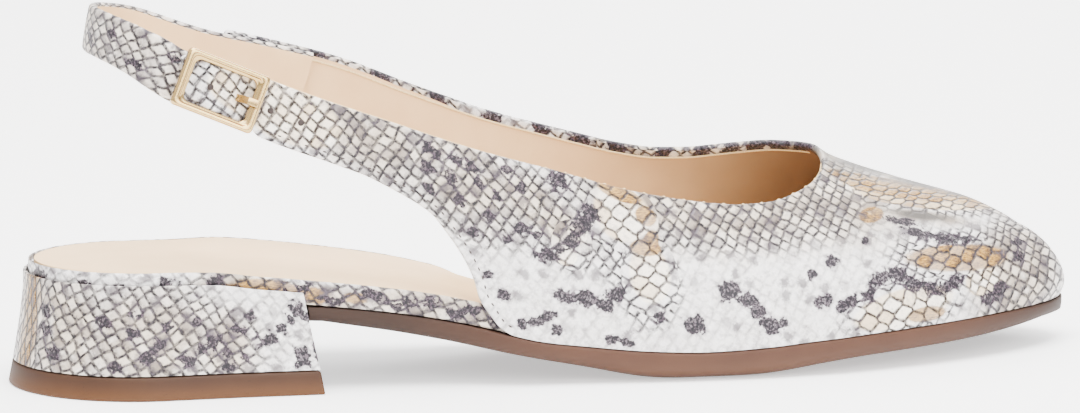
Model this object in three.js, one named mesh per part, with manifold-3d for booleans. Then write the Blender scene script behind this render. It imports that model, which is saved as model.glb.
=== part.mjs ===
// Right slingback pump with a closed almond toe, a low block heel and a buckled heel strap.
// Millimetres, +X to the toe, +Y to the medial side, +Z up, floor at Z = 0.
// The shoe is laid out from the rear of its insole board, then moved so that
// the origin lies on the floor under the middle of the heel.

import * as THREE from 'three';
import { mergeVertices } from 'three/addons/utils/BufferGeometryUtils.js';
import Module from 'manifold-3d';

const wasm = await Module();
wasm.setup();

// Driving dimensions of the last
const LAST_LENGTH = 254;
const BALL_WIDTH = 73.8;
const SEAT_WIDTH = 52.5;
const SEAT_ROUND = 26;
const SEAT_HEIGHT = 23.8;
const ARCH_TWIST = 0.0375;
const TOE_SPRING = 3.8;
const TOE_CAP_START = 0.735;
const TOE_POINT = 1.6;
const TOE_CREST_START = 0.905;
const TOE_OVERHANG = 1.5;
const TOE_OVERHANG_HEIGHT = 5;
const CREST_HEIGHT = 46;

// Driving dimensions of the bottom
const SOLE_THICKNESS = 6.7;
const SHANK_THICKNESS = 4.1;
const TOE_THICKNESS = 3.6;
const SOLE_EDGE = 0.6;
const SOLE_ROUNDING = 7;
const BOARD_THICKNESS = 5.6;
const FORE_BOARD_THICKNESS = 2.4;
const FORE_BOARD_INSET = 0.5;
const SOCK_THICKNESS = 0.9;
const SOCK_GAP = 0.4;
const SOCK_INSET = 1.4;
const LIFT_THICKNESS = 5.5;
const LIFT_BEVEL = 0.5;
const HEEL_FLARE = 3.7;
const HEEL_LENGTH = 59.8;
const BREAST_LEAN = 3.8;
const CUP_WALL = 0.9;
const CUP_HEIGHT = 2.8;

// Driving dimensions of the upper and its strap
const WALL = 1.6;
const TAIL_WALL = 1.4;
const COLLAR_HEIGHT = 84.2;
const STRAP_BACK_DROP = 0.8;
const THROAT_X = 195.6;
const THROAT_DEPTH = 45.6;
const THROAT_FULLNESS = 2.25;
const THROAT_LATERAL = 31.5;
const THROAT_MEDIAL = 21;
const THROAT_SIDE = 6;
const CUT_SHIFT = 15;
const MEDIAL_QUARTER_END = 52;
const STRAP_WIDTH = 12.5;
const STRAP_BACK_WIDTH = 11;
const STRAP_THICKNESS = 2;
const STRAP_BACK_X = 14.3;
const STRAP_HALF_WIDTH = 25;
const STRAP_LEAN = 10;
const STRAP_OVERLAP = 20;
const STRAP_EDGE = 0.5;

// Driving dimensions of the buckle
const BUCKLE_X = 40.2;
const BUCKLE_LENGTH = 20.4;
const BUCKLE_WIDTH = 14;
const BUCKLE_THICKNESS = 2;
const BUCKLE_CORNER = 1;
const END_BAR = 2.5;
const SIDE_BAR = 1.9;
const CENTRE_BAR = 1.2;
const PRONG_WIDTH = 1.7;
const PRONG_THICKNESS = 1.1;
const PRONG_RING = 0.6;
const PRONG_OVERHANG = -0.8;
const HOLE_PITCH = 7.7;
const HOLE_DIAMETER = 2;

// Lesser dimensions of the heel, the strap's loop and the prong
const HEEL_FLARE_POWER = 1.3;
const STRAP_BACK_REACH = 12;
const STRAP_ROUND_INSET = 3;
const LOOP_FRONT = 1.2;
const LOOP_BACK = 0.6;
const TAIL_THIN_START = 6;
const TAIL_THIN_END = 1;
const PUNCH_DEPTH = 8;
const PRONG_SLOT = 4;
const PRONG_SLOT_BACK = 2;
const PRONG_HOLE_INSET = 2.4;
const PRONG_HOLE_LENGTH = 5.2;
const PRONG_BEND = 0.5;
const PRONG_TOP_BEND = 0.9;
const PRONG_TOP_PLAY = 0.15;

const CLEARANCE = 0.3;
const RIB_STEPS = 9;
const ORIGIN_X = 29;

// Places along the last, as shares of its length: where the board thins towards the forepart, where
// the sock's inset and its recess end, where the sole's edge widens and where the cut of the quarter runs
const BOARD_THINS = { from: 0.4, to: 0.48 };
const SOCK_WIDENS = { from: 0.46, to: 0.5 };
const SOCK_RISES = { from: 0.42, to: 0.45 };
const SOLE_WIDENS = { from: 0.37, to: 0.43 };
const QUARTER_CUT = { strap: 0.24, from: 0.34, steep: 0.389, to: 0.4203 };

// Plan of the last: bend is the centre line's shift and spread the way from seat width to ball width
const PLAN = [
  { at: 0, bend: 0, spread: 0 },
  { at: 0.162, bend: -0.001, spread: 0 },
  { at: 0.223, bend: -0.006, spread: 0.03 },
  { at: 0.303, bend: -0.024, spread: 0.04 },
  { at: 0.384, bend: -0.054, spread: 0.03 },
  { at: 0.465, bend: -0.076, spread: 0.09 },
  { at: 0.546, bend: -0.068, spread: 0.35 },
  { at: 0.627, bend: -0.037, spread: 0.73 },
  { at: 0.688, bend: -0.006, spread: 0.96 },
  { at: 0.738, bend: 0.015, spread: 1 },
  { at: 0.789, bend: 0.03, spread: 1 },
  { at: 0.87, bend: 0.037, spread: 1 },
  { at: 0.94, bend: 0.034, spread: 1 },
  { at: 1, bend: 0.02, spread: 1 },
];

// Seat line under the insole board: heel and toe are shares of the seat height and the toe spring,
// and twist is the share of the arch's twist, which lifts the medial side
const SEAT = [
  { at: 0, heel: 1, toe: 0, twist: 0 },
  { at: 0.1, heel: 0.99, toe: 0, twist: 0 },
  { at: 0.15, heel: 0.975, toe: 0, twist: 0.1 },
  { at: 0.2, heel: 0.93, toe: 0, twist: 0.95 },
  { at: 0.25, heel: 0.85, toe: 0, twist: 1 },
  { at: 0.3, heel: 0.755, toe: 0, twist: 0.9 },
  { at: 0.354, heel: 0.63, toe: 0, twist: 0.85 },
  { at: 0.405, heel: 0.455, toe: 0, twist: 0.75 },
  { at: 0.455, heel: 0.24, toe: 0, twist: 0.4 },
  { at: 0.506, heel: 0.11, toe: 0, twist: 0 },
  { at: 0.556, heel: 0.035, toe: 0, twist: 0 },
  { at: 0.607, heel: 0, toe: 0, twist: 0 },
  { at: 0.657, heel: 0, toe: 0.11, twist: 0 },
  { at: 0.718, heel: 0, toe: 0.38, twist: 0 },
  { at: 0.789, heel: 0, toe: 0.62, twist: 0 },
  { at: 0.87, heel: 0, toe: 0.82, twist: 0 },
  { at: 0.93, heel: 0, toe: 0.94, twist: 0 },
  { at: 1, heel: 0, toe: 1, twist: 0 },
];

// Outsole: shank and toe are the shares of those thicknesses, ground is 1 where it is flat on the floor
const SOLE = [
  { at: 0.24, shank: 1, toe: 0, ground: 0 },
  { at: 0.272, shank: 0.77, toe: 0, ground: 0 },
  { at: 0.327, shank: 0.58, toe: 0, ground: 0 },
  { at: 0.363, shank: 0.46, toe: 0, ground: 0 },
  { at: 0.4, shank: 0.5, toe: 0, ground: 0 },
  { at: 0.438, shank: 0.7, toe: 0, ground: 0 },
  { at: 0.473, shank: 0.65, toe: 0, ground: 0 },
  { at: 0.513, shank: 0.38, toe: 0, ground: 0 },
  { at: 0.548, shank: 0.1, toe: 0, ground: 0.3 },
  { at: 0.565, shank: 0, toe: 0, ground: 1 },
  { at: 0.66, shank: 0, toe: 0, ground: 1 },
  { at: 0.69, shank: 0, toe: 0.02, ground: 0.45 },
  { at: 0.72, shank: 0, toe: 0.12, ground: 0.1 },
  { at: 0.75, shank: 0, toe: 0.2, ground: 0 },
  { at: 0.88, shank: 0, toe: 0.26, ground: 0 },
  { at: 0.911, shank: 0, toe: 0.36, ground: 0 },
  { at: 0.955, shank: 0, toe: 0.6, ground: 0 },
  { at: 0.98, shank: 0, toe: 0.8, ground: 0 },
  { at: 1.01, shank: 0, toe: 1, ground: 0 },
];

// Sections of the last: crest is the ridge's height and side its place across, of crest height and
// ball width. low and top are the rib's handles at the sole and at the ridge, of the rib's height
// and of the ball width, and lean is the wall's tilt outwards at the sole in degrees.
const SECTIONS = [
  { at: 0.101, crest: 2.63, side: 0, low: 0.4, top: 0.32, lean: 0, lowIn: 0.4, topIn: 0.32, leanIn: 0 },
  { at: 0.233, crest: 2.6, side: 0, low: 0.4, top: 0.33, lean: 0, lowIn: 0.4, topIn: 0.33, leanIn: 2 },
  { at: 0.354, crest: 2.43, side: 0, low: 0.4, top: 0.35, lean: 1, lowIn: 0.4, topIn: 0.37, leanIn: 8 },
  { at: 0.475, crest: 1.86, side: 0.054, low: 0.4, top: 0.28, lean: 2, lowIn: 0.4, topIn: 0.37, leanIn: 17 },
  { at: 0.592, crest: 1.51, side: 0.1, low: 0.35, top: 0.22, lean: 4, lowIn: 0.4, topIn: 0.24, leanIn: 9 },
  { at: 0.688, crest: 1.26, side: 0.12, low: 0.36, top: 0.22, lean: 4, lowIn: 0.42, topIn: 0.16, leanIn: 4 },
  { at: 0.769, crest: 1.055, side: 0.108, low: 0.38, top: 0.19, lean: 4, lowIn: 0.45, topIn: 0.15, leanIn: 4 },
  { at: 0.779, crest: 1.015, side: 0.105, low: 0.38, top: 0.19, lean: 4, lowIn: 0.45, topIn: 0.15, leanIn: 4 },
  { at: 0.798, crest: 0.97, side: 0.1, low: 0.39, top: 0.19, lean: 4, lowIn: 0.46, topIn: 0.15, leanIn: 4 },
  { at: 0.85, crest: 0.873, side: 0.085, low: 0.43, top: 0.2, lean: 4, lowIn: 0.5, topIn: 0.18, leanIn: 4 },
  { at: 0.915, crest: 0.765, side: 0.065, low: 0.5, top: 0.19, lean: 4, lowIn: 0.53, topIn: 0.17, leanIn: 4 },
  { at: 0.952, crest: 0.69, side: 0.05, low: 0.53, top: 0.14, lean: 3, lowIn: 0.53, topIn: 0.13, leanIn: 3 },
  { at: 0.97, crest: 0.66, side: 0.04, low: 0.54, top: 0.1, lean: 2, lowIn: 0.54, topIn: 0.1, leanIn: 2 },
  { at: 1.01, crest: 0.655, side: 0.02, low: 0.55, top: 0.03, lean: 2, lowIn: 0.55, topIn: 0.03, leanIn: 2 },
];

// Topline heights as shares of the collar height, lateral and medial
const TOPLINE = [
  { at: 0.101, lateral: 1, medial: 1.02 },
  { at: 0.158, lateral: 0.929, medial: 0.976 },
  { at: 0.237, lateral: 0.83, medial: 0.917 },
  { at: 0.316, lateral: 0.744, medial: 0.849 },
  { at: 0.394, lateral: 0.662, medial: 0.755 },
  { at: 0.473, lateral: 0.592, medial: 0.669 },
  { at: 0.552, lateral: 0.521, medial: 0.603 },
  { at: 0.592, lateral: 0.495, medial: 0.572 },
  { at: 0.631, lateral: 0.476, medial: 0.554 },
  { at: 0.66, lateral: 0.468, medial: 0.553 },
  { at: 0.688, lateral: 0.468, medial: 0.561 },
  { at: 0.715, lateral: 0.467, medial: 0.571 },
  { at: 0.741, lateral: 0.467, medial: 0.58 },
  { at: 0.769, lateral: 0.467, medial: 0.583 },
];

// Lower edge of the quarter: depth runs from 0 where it is a strap to 1 where it meets the sole
const CUT = [
  { at: 0.253, depth: 0 },
  { at: 0.288, depth: 0.01 },
  { at: 0.324, depth: 0.062 },
  { at: 0.352, depth: 0.14 },
  { at: 0.37, depth: 0.29 },
  { at: 0.379, depth: 0.387 },
  { at: 0.388, depth: 0.516 },
  { at: 0.393, depth: 0.615 },
  { at: 0.397, depth: 0.74 },
  { at: 0.405, depth: 0.85 },
  { at: 0.415, depth: 0.96 },
  { at: 0.425, depth: 1 },
];

// Sling strap around the heel: turn runs from the lateral side to the medial side, height is a share
// of the collar height
const SLING = [
  { turn: 32, height: 0.942 },
  { turn: 50, height: 0.975 },
  { turn: 70, height: 0.994 },
  { turn: 90, height: 1 },
  { turn: 112, height: 0.997 },
  { turn: 135, height: 0.983 },
  { turn: 160, height: 0.957 },
];

// Smooth curve through one column of a table, without overshoot
function curve(table, column, key = 'at') {
  const x = table.map((row) => row[key]);
  const y = table.map((row) => row[column]);
  const last = x.length - 1;
  const step = x.slice(1).map((value, i) => (y[i + 1] - y[i]) / (value - x[i]));
  const slope = x.map((value, i) => {
    if (i === 0) return step[0];
    if (i === last) return step[last - 1];
    if (step[i - 1] * step[i] <= 0) return 0;
    const before = x[i] - x[i - 1];
    const after = x[i + 1] - x[i];
    const sum = 3 * (before + after);
    return sum / ((2 * after + before) / step[i - 1] + (after + 2 * before) / step[i]);
  });
  return (value) => {
    const v = Math.min(Math.max(value, x[0]), x[last]);
    let i = 0;
    while (i < last - 1 && v > x[i + 1]) i += 1;
    const h = x[i + 1] - x[i];
    const t = (v - x[i]) / h;
    const blend = t * t * (3 - 2 * t);
    const rise = t * (1 - t) * (1 - t) * slope[i] - t * t * (1 - t) * slope[i + 1];
    return y[i] + (y[i + 1] - y[i]) * blend + h * rise;
  };
}

const mix = (a, b, share) => a + (b - a) * share;
const radians = (degrees) => (degrees * Math.PI) / 180;

function ramp(from, to, value) {
  const t = Math.min(Math.max((value - from) / (to - from), 0), 1);
  return t * t * (3 - 2 * t);
}

// Last and seat
const planBend = curve(PLAN, 'bend');
const planSpread = curve(PLAN, 'spread');
const seatHeel = curve(SEAT, 'heel');
const seatToe = curve(SEAT, 'toe');
const seatTwist = curve(SEAT, 'twist');
const BALL_SEAT = SOLE_THICKNESS + CLEARANCE;

const centre = (x) => BALL_WIDTH * planBend(x / LAST_LENGTH);

function seat(x, y) {
  const share = x / LAST_LENGTH;
  const line = BALL_SEAT + (SEAT_HEIGHT - BALL_SEAT) * seatHeel(share) + TOE_SPRING * seatToe(share);
  return line + ARCH_TWIST * seatTwist(share) * y;
}

// Half width of the insole board
function boardHalf(x) {
  if (x <= 0 || x >= LAST_LENGTH) return 0;
  const share = x / LAST_LENGTH;
  const heelShare = Math.max(1 - x / SEAT_ROUND, 0);
  const toeShare = Math.max((share - TOE_CAP_START) / (1 - TOE_CAP_START), 0);
  const heelCap = Math.sqrt(1 - heelShare ** 2);
  const toeCap = (1 - toeShare ** TOE_POINT) ** (1 / TOE_POINT);
  return mix(SEAT_WIDTH, BALL_WIDTH, planSpread(share)) * 0.5 * heelCap * toeCap;
}

// Half width of the board's outline grown by a margin all round, or shrunk by a negative one
function half(x, margin) {
  const reach = Math.abs(margin);
  const steps = 24;
  let best = margin < 0 ? Infinity : 0;
  for (let k = 0; k <= steps; k += 1) {
    const turn = Math.PI * (k / steps);
    const other = x + reach * Math.cos(turn);
    const side = reach * Math.sin(turn);
    const inside = other >= 0 && other <= LAST_LENGTH;
    if (margin < 0) best = Math.min(best, inside ? boardHalf(other) - side : 0);
    else if (inside) best = Math.max(best, boardHalf(other) + side);
  }
  return Math.max(best, 0);
}

// Triangles collected into one closed geometry
class Skin {
  constructor() {
    this.corners = [];
  }

  triangle(a, b, c) {
    const edge = new THREE.Vector3().subVectors(b, a);
    const other = new THREE.Vector3().subVectors(c, a);
    if (edge.cross(other).length() < 1e-7) return;
    this.corners.push(a, b, c);
  }

  quad(a, b, c, d) {
    this.triangle(a, b, c);
    this.triangle(a, c, d);
  }

  // Geometry with its faces turned outwards
  geometry() {
    const volume = new THREE.Vector3();
    let total = 0;
    for (let i = 0; i < this.corners.length; i += 3) {
      const [a, b, c] = this.corners.slice(i, i + 3);
      total += volume.crossVectors(b, c).dot(a);
    }
    const points = [];
    for (let i = 0; i < this.corners.length; i += 3) {
      const [a, b, c] = this.corners.slice(i, i + 3);
      const order = total > 0 ? [a, b, c] : [a, c, b];
      for (const p of order) points.push(p.x, p.y, p.z);
    }
    const soup = new THREE.BufferGeometry();
    soup.setAttribute('position', new THREE.Float32BufferAttribute(points, 3));
    return mergeVertices(soup, 1e-4);
  }
}

// Solid through rings of equally many points, with its first and last ring closed by strips
function loft(rings) {
  const skin = new Skin();
  const count = rings[0].length;
  for (let i = 0; i < rings.length - 1; i += 1) {
    for (let k = 0; k < count; k += 1) {
      const next = (k + 1) % count;
      skin.quad(rings[i][k], rings[i + 1][k], rings[i + 1][next], rings[i][next]);
    }
  }
  const cap = (ring, turned) => {
    for (let k = 0; k < count / 2 - 1; k += 1) {
      const face = [ring[k], ring[k + 1], ring[count - 2 - k], ring[count - 1 - k]];
      if (turned) face.reverse();
      skin.quad(...face);
    }
  };
  cap(rings[0], false);
  cap(rings[rings.length - 1], true);
  return skin.geometry();
}

function toManifold(geometry) {
  const bare = geometry.clone();
  bare.deleteAttribute('normal');
  bare.deleteAttribute('uv');
  const merged = mergeVertices(bare, 1e-4);
  const mesh = new wasm.Mesh({
    numProp: 3,
    vertProperties: new Float32Array(merged.attributes.position.array),
    triVerts: new Uint32Array(merged.index.array),
  });
  return new wasm.Manifold(mesh);
}

function fromManifold(solid) {
  const mesh = solid.getMesh();
  const geometry = new THREE.BufferGeometry();
  geometry.setAttribute('position', new THREE.Float32BufferAttribute(mesh.vertProperties, 3));
  geometry.setIndex(new THREE.Uint32BufferAttribute(mesh.triVerts, 1));
  return geometry;
}

// Stations closer together towards one end
function spaced(from, to, count, crowd) {
  const list = [];
  for (let i = 0; i <= count; i += 1) {
    const t = i / count;
    const start = 1 - Math.cos((t * Math.PI) / 2);
    const end = Math.sin((t * Math.PI) / 2);
    list.push(mix(from, to, { start, end, even: t }[crowd]));
  }
  return list;
}

// Insole board: the covered platform that shows as a rim at the heel and the waist
function boardThickness(x) {
  const thin = ramp(BOARD_THINS.from, BOARD_THINS.to, x / LAST_LENGTH);
  return mix(BOARD_THICKNESS, FORE_BOARD_THICKNESS, thin);
}

function slabRing(x, width, low, high) {
  const left = centre(x) - width;
  const right = centre(x) + width;
  return [
    new THREE.Vector3(x, left, seat(x, left) + low),
    new THREE.Vector3(x, left, seat(x, left) + high),
    new THREE.Vector3(x, right, seat(x, right) + high),
    new THREE.Vector3(x, right, seat(x, right) + low),
  ];
}

function slabStations(rear, front) {
  const ball = TOE_CAP_START * LAST_LENGTH;
  return [
    ...spaced(-rear, SEAT_ROUND, 10, 'start').slice(1),
    ...spaced(SEAT_ROUND, ball, 15, 'even').slice(1),
    ...spaced(ball, LAST_LENGTH + front, 15, 'end').slice(1, -1),
  ];
}

function boardSlab(grow) {
  const rings = slabStations(grow, grow - FORE_BOARD_INSET).map((x) => {
    const margin = grow - FORE_BOARD_INSET * ramp(BOARD_THINS.from, BOARD_THINS.to, x / LAST_LENGTH);
    return slabRing(x, half(x, margin), -grow, boardThickness(x) + grow);
  });
  return toManifold(loft(rings));
}

// Insole sock: sunk flush into the board inside the rim where it shows, on top of it in the forepart
function sockSlab(grow) {
  const foreInset = FORE_BOARD_INSET + CLEARANCE;
  const rings = slabStations(grow - SOCK_INSET, grow - foreInset).map((x) => {
    const share = x / LAST_LENGTH;
    const inset = mix(SOCK_INSET, foreInset, ramp(SOCK_WIDENS.from, SOCK_WIDENS.to, share));
    const sunk = (SOCK_THICKNESS + SOCK_GAP) * (1 - ramp(SOCK_RISES.from, SOCK_RISES.to, share));
    const low = boardThickness(x) + SOCK_GAP - sunk;
    return slabRing(x, half(x, grow - inset), low - grow, low + SOCK_THICKNESS + grow);
  });
  return toManifold(loft(rings));
}

// Outsole from the heel's breast to the toe
const soleShank = curve(SOLE, 'shank');
const soleToe = curve(SOLE, 'toe');
const soleGround = curve(SOLE, 'ground');

function soleBottom(x, y) {
  const share = x / LAST_LENGTH;
  const shank = (SHANK_THICKNESS - SOLE_THICKNESS) * soleShank(share);
  const toe = (TOE_THICKNESS - SOLE_THICKNESS) * soleToe(share);
  const free = seat(x, y) - CLEARANCE - SOLE_THICKNESS - shank - toe;
  return free * (1 - soleGround(share));
}

const breastX = (z) => HEEL_LENGTH + BREAST_LEAN * (1 - z / SEAT_HEIGHT);

function soleSolid() {
  const forepart = WALL + CLEARANCE + SOLE_EDGE;
  const margin = (x) => forepart * ramp(SOLE_WIDENS.from, SOLE_WIDENS.to, x / LAST_LENGTH);
  const start = breastX(0);
  const ball = TOE_CAP_START * LAST_LENGTH;
  const stations = [
    ...spaced(start, ball, 22, 'even'),
    ...spaced(ball, LAST_LENGTH + forepart, 16, 'end').slice(1, -1),
  ];
  const rings = stations.map((x, index) => {
    const width = half(x, margin(x));
    const inset = Math.min(SOLE_ROUNDING, width * 0.5);
    const rim = [
      { inset: 1, height: 0 },
      { inset: 0.5, height: 0.12 },
      { inset: 0.2, height: 0.33 },
      { inset: 0.04, height: 0.6 },
      { inset: 0.02, height: 1 },
    ];
    const place = (side) => (point) => {
      const y = centre(x) + side * (width - inset * point.inset);
      const z = mix(soleBottom(x, y), seat(x, y) - CLEARANCE, point.height);
      const back = index === 0 ? breastX(z) + CLEARANCE : x;
      return new THREE.Vector3(back, y, z);
    };
    return [...rim.map(place(-1)), ...rim.map(place(1)).reverse()];
  });
  return loft(rings);
}

// Heel block and its top piece: the board's outline grown more towards the floor
const heelGrow = (z) => {
  const share = Math.min(Math.max(1 - z / SEAT_HEIGHT, 0), 1);
  return CLEARANCE + CUP_WALL + HEEL_FLARE * share ** HEEL_FLARE_POWER;
};

function heelRing(level, inset = 0) {
  const height = level(0, 0);
  const grow = heelGrow(height) - inset;
  const stations = spaced(breastX(height) - inset, -grow, 16, 'end');
  const place = (side) => (x) => {
    const y = centre(x) + side * half(x, grow);
    return new THREE.Vector3(x, y, level(x, y));
  };
  const lateral = stations.slice(0, -1).map(place(-1));
  const medial = stations.slice(0, -1).map(place(1)).reverse();
  return [...lateral, ...medial];
}

function heelBlockSolid() {
  const floor = LIFT_THICKNESS + CLEARANCE;
  const rim = (x, y) => seat(Math.max(x, 0), y) + CUP_HEIGHT;
  const rings = [0, 0.2, 0.4, 0.6, 0.8, 1].map((share) => heelRing((x, y) => mix(floor, rim(x, y), share)));
  const block = toManifold(loft(rings));
  return fromManifold(block.subtract(boardSlab(CLEARANCE)));
}

function topPieceSolid() {
  const rings = [
    heelRing(() => 0, LIFT_BEVEL),
    heelRing(() => LIFT_BEVEL),
    heelRing(() => LIFT_THICKNESS * 0.5),
    heelRing(() => LIFT_THICKNESS),
  ];
  return loft(rings);
}

// Surface of the last: a rib at x runs from the sole, t = 0, to the ridge, t = 1
const section = Object.fromEntries(Object.keys(SECTIONS[0]).map((key) => [key, curve(SECTIONS, key)]));
const TIP_X = LAST_LENGTH + WALL + CLEARANCE;

function rib(side, x) {
  const share = x / LAST_LENGTH;
  const tip = Math.min(Math.max((share - TOE_CREST_START) / (TIP_X / LAST_LENGTH - TOE_CREST_START), 0), 1);
  const cap = Math.sqrt(1 - tip ** 3);
  const medial = side > 0;
  const footY = centre(x) + side * half(x, WALL + CLEARANCE);
  const foot = seat(x, footY);
  const height = (section.crest(share) * CREST_HEIGHT - foot) * cap;
  const ridgeY = mix(BALL_WIDTH * section.side(share), centre(x), tip ** 4);
  const lean = radians(medial ? section.leanIn(share) : section.lean(share));
  const low = height * (medial ? section.lowIn(share) : section.low(share));
  const free = Math.abs(ridgeY - footY);
  const top = Math.min(BALL_WIDTH * (medial ? section.topIn(share) : section.top(share)), free * 1.3);
  const ends = [
    { y: footY, z: foot },
    { y: footY + side * low * Math.sin(lean), z: foot + low * Math.cos(lean) },
    { y: ridgeY + side * top, z: foot + height },
    { y: ridgeY, z: foot + height },
  ];
  return (t) => {
    const s = 1 - t;
    const weights = [s ** 3, 3 * s * s * t, 3 * s * t * t, t ** 3];
    const y = weights.reduce((sum, w, i) => sum + w * ends[i].y, 0);
    const z = weights.reduce((sum, w, i) => sum + w * ends[i].z, 0);
    const rise = (z - foot) / TOE_OVERHANG_HEIGHT;
    const overhang = TOE_OVERHANG * ramp(0.2, 0.8, tip) * rise * Math.exp(1 - rise);
    return new THREE.Vector3(x + overhang, y, z);
  };
}

// Parameter at which a rising function of t reaches a value
function reach(f, value) {
  let low = 0;
  let high = 1;
  for (let k = 0; k < 30; k += 1) {
    const t = (low + high) / 2;
    if (f(t) < value) low = t;
    else high = t;
  }
  return (low + high) / 2;
}

// Edges of the upper
const toplineLateral = curve(TOPLINE, 'lateral');
const toplineMedial = curve(TOPLINE, 'medial');
const cutDepth = curve(CUT, 'depth');

const topline = (side, x) => {
  const share = x / LAST_LENGTH;
  return COLLAR_HEIGHT * (side > 0 ? toplineMedial(share) : toplineLateral(share));
};

// Height of the strap's upper and lower edge where the quarter has become a strap
const strapSlope = (side, x) => (topline(side, x + 1) - topline(side, x - 1)) / 2;
const strapRise = (side, x) => STRAP_WIDTH * Math.hypot(1, strapSlope(side, x));
const strapMiddle = (side, x) => topline(side, x) - strapRise(side, x) / 2;

// Frame of the buckle: its middle on the strap, along, across and outwards
function buckleFrame() {
  const at = (x) => {
    const line = rib(-1, x);
    return line(reach((t) => line(t).z, strapMiddle(-1, x)));
  };
  const middle = at(BUCKLE_X);
  const reachX = BUCKLE_LENGTH / 2;
  const along = new THREE.Vector3().subVectors(at(BUCKLE_X + reachX), at(BUCKLE_X - reachX)).normalize();
  const upLine = rib(-1, BUCKLE_X);
  const above = upLine(reach((t) => upLine(t).z, topline(-1, BUCKLE_X)));
  const across = new THREE.Vector3().subVectors(above, middle);
  across.addScaledVector(along, -across.dot(along)).normalize();
  const out = new THREE.Vector3().crossVectors(along, across);
  if (out.y > 0) out.negate();
  return { middle, along, across, out };
}

const buckle = buckleFrame();
const bucklePoint = (along, across, out) => {
  const point = buckle.middle.clone().addScaledVector(buckle.along, along);
  return point.addScaledVector(buckle.across, across).addScaledVector(buckle.out, out);
};

// Levels outwards from the strap's surface, in the order in which the layers lie
const FRAME_BASE = 2 * CLEARANCE;
const TAIL_LIFT = 1.3;
const RING_TOP = TAIL_LIFT - TAIL_WALL - CLEARANCE;
const BAR_TOP = RING_TOP - PRONG_RING - CLEARANCE;
const BAR_MIDDLE = BAR_TOP - CENTRE_BAR / 2;
const LOOP_TOP = BAR_MIDDLE - CENTRE_BAR / 2 - 1.5 * CLEARANCE;
const TAIL_WIDTH = BUCKLE_WIDTH - 2 * SIDE_BAR - 2 * CLEARANCE;
const BAR_INNER = BUCKLE_LENGTH / 2 - END_BAR;
const TAIL_END = -(BAR_INNER + END_BAR / 2);
const TAIL_ROUND = 1.5;
const alongBuckle = (x) => (x - buckle.middle.x) / buckle.along.x;

// Upper and lower parameter of the wall on a rib
function edges(side, x) {
  const line = rib(side, x);
  const height = (t) => line(t).z;
  const foot = height(0);
  const high = topline(side, x);
  const throatShare = Math.min(Math.max((x - THROAT_X + THROAT_DEPTH) / THROAT_DEPTH, 0), 1);
  const fullness = side > 0 ? 2 : THROAT_FULLNESS;
  const bow = (1 - throatShare ** fullness) ** (1 / fullness);
  const span = (side > 0 ? THROAT_MEDIAL : THROAT_LATERAL) * bow;
  const throat = reach((t) => -side * line(t).y, -side * (THROAT_SIDE + side * span));
  const blend = side > 0 ? ramp(0.7, 0.92, throatShare) : ramp(0.4, 0.7, throatShare);
  let top = mix(reach(height, high), throat, blend);
  if (x >= THROAT_X) top = 1;
  const strap = strapRise(side, x);
  const depth = cutDepth((x - (side > 0 ? CUT_SHIFT : 0)) / LAST_LENGTH);
  let bottom = depth >= 1 ? 0 : reach(height, high - mix(strap, high - foot, depth));
  if (side > 0) {
    const corner = ramp(0, 1, (x - MEDIAL_QUARTER_END) / TAIL_ROUND + 0.35);
    const trim = (top - bottom) * 0.5 * (1 - corner) * 0.5;
    return { top: top - trim, bottom: bottom + trim };
  }
  const d = alongBuckle(x);
  const bar = BUCKLE_LENGTH / 2;
  const narrow = ramp(bar, BAR_INNER, d);
  const tip = Math.min(Math.max((d - TAIL_END) / TAIL_ROUND, 0), 1);
  const share = mix(1, TAIL_WIDTH / STRAP_WIDTH, narrow) * Math.sqrt(1 - 0.4 * (1 - tip) ** 2);
  const middle = (top + bottom) / 2;
  if (d < bar) {
    top = middle + (top - middle) * share;
    bottom = middle + (bottom - middle) * share;
  }
  return { top, bottom };
}

// The tail rises over the centre bar and stays under both end bars
const tailLift = (side, x) => {
  if (side > 0) return 0;
  return TAIL_LIFT * ramp(BAR_INNER - CLEARANCE, CENTRE_BAR + 0.4, Math.abs(alongBuckle(x)));
};

const surface = (side, x, t) => rib(side, x)(t);

function outward(side, x, t) {
  if (TIP_X - x < 0.01) return new THREE.Vector3(1, 0, 0);
  const dx = Math.min(0.5, (TIP_X - x) * 0.2);
  const dt = 0.01;
  const t0 = Math.max(t - dt, 0);
  const t1 = Math.min(t + dt, 1);
  const lengthwise = new THREE.Vector3().subVectors(surface(side, x + dx, t), surface(side, x - dx, t));
  const upwards = new THREE.Vector3().subVectors(surface(side, x, t1), surface(side, x, t0));
  if (t === 1) upwards.set(0, -side, 0);
  const normal = new THREE.Vector3().crossVectors(upwards, lengthwise).multiplyScalar(side);
  if (t === 0) normal.setZ(0);
  return normal.normalize();
}

// One row of the upper: points of its outer and inner face on one rib
function upperRow(side, x) {
  const { top, bottom } = edges(side, x);
  const lift = tailLift(side, x);
  const bar = BUCKLE_LENGTH / 2;
  const thin = side < 0 ? ramp(bar + TAIL_THIN_START, bar + TAIL_THIN_END, alongBuckle(x)) : 0;
  const wall = mix(WALL, TAIL_WALL, thin);
  const outer = [];
  const inner = [];
  for (let k = 0; k <= RIB_STEPS; k += 1) {
    const t = mix(bottom, top, k / RIB_STEPS);
    const point = surface(side, x, t);
    const normal = outward(side, x, t);
    outer.push(point.clone().addScaledVector(normal, lift));
    inner.push(point.clone().addScaledVector(normal, lift - wall));
  }
  return { outer, inner };
}

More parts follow.
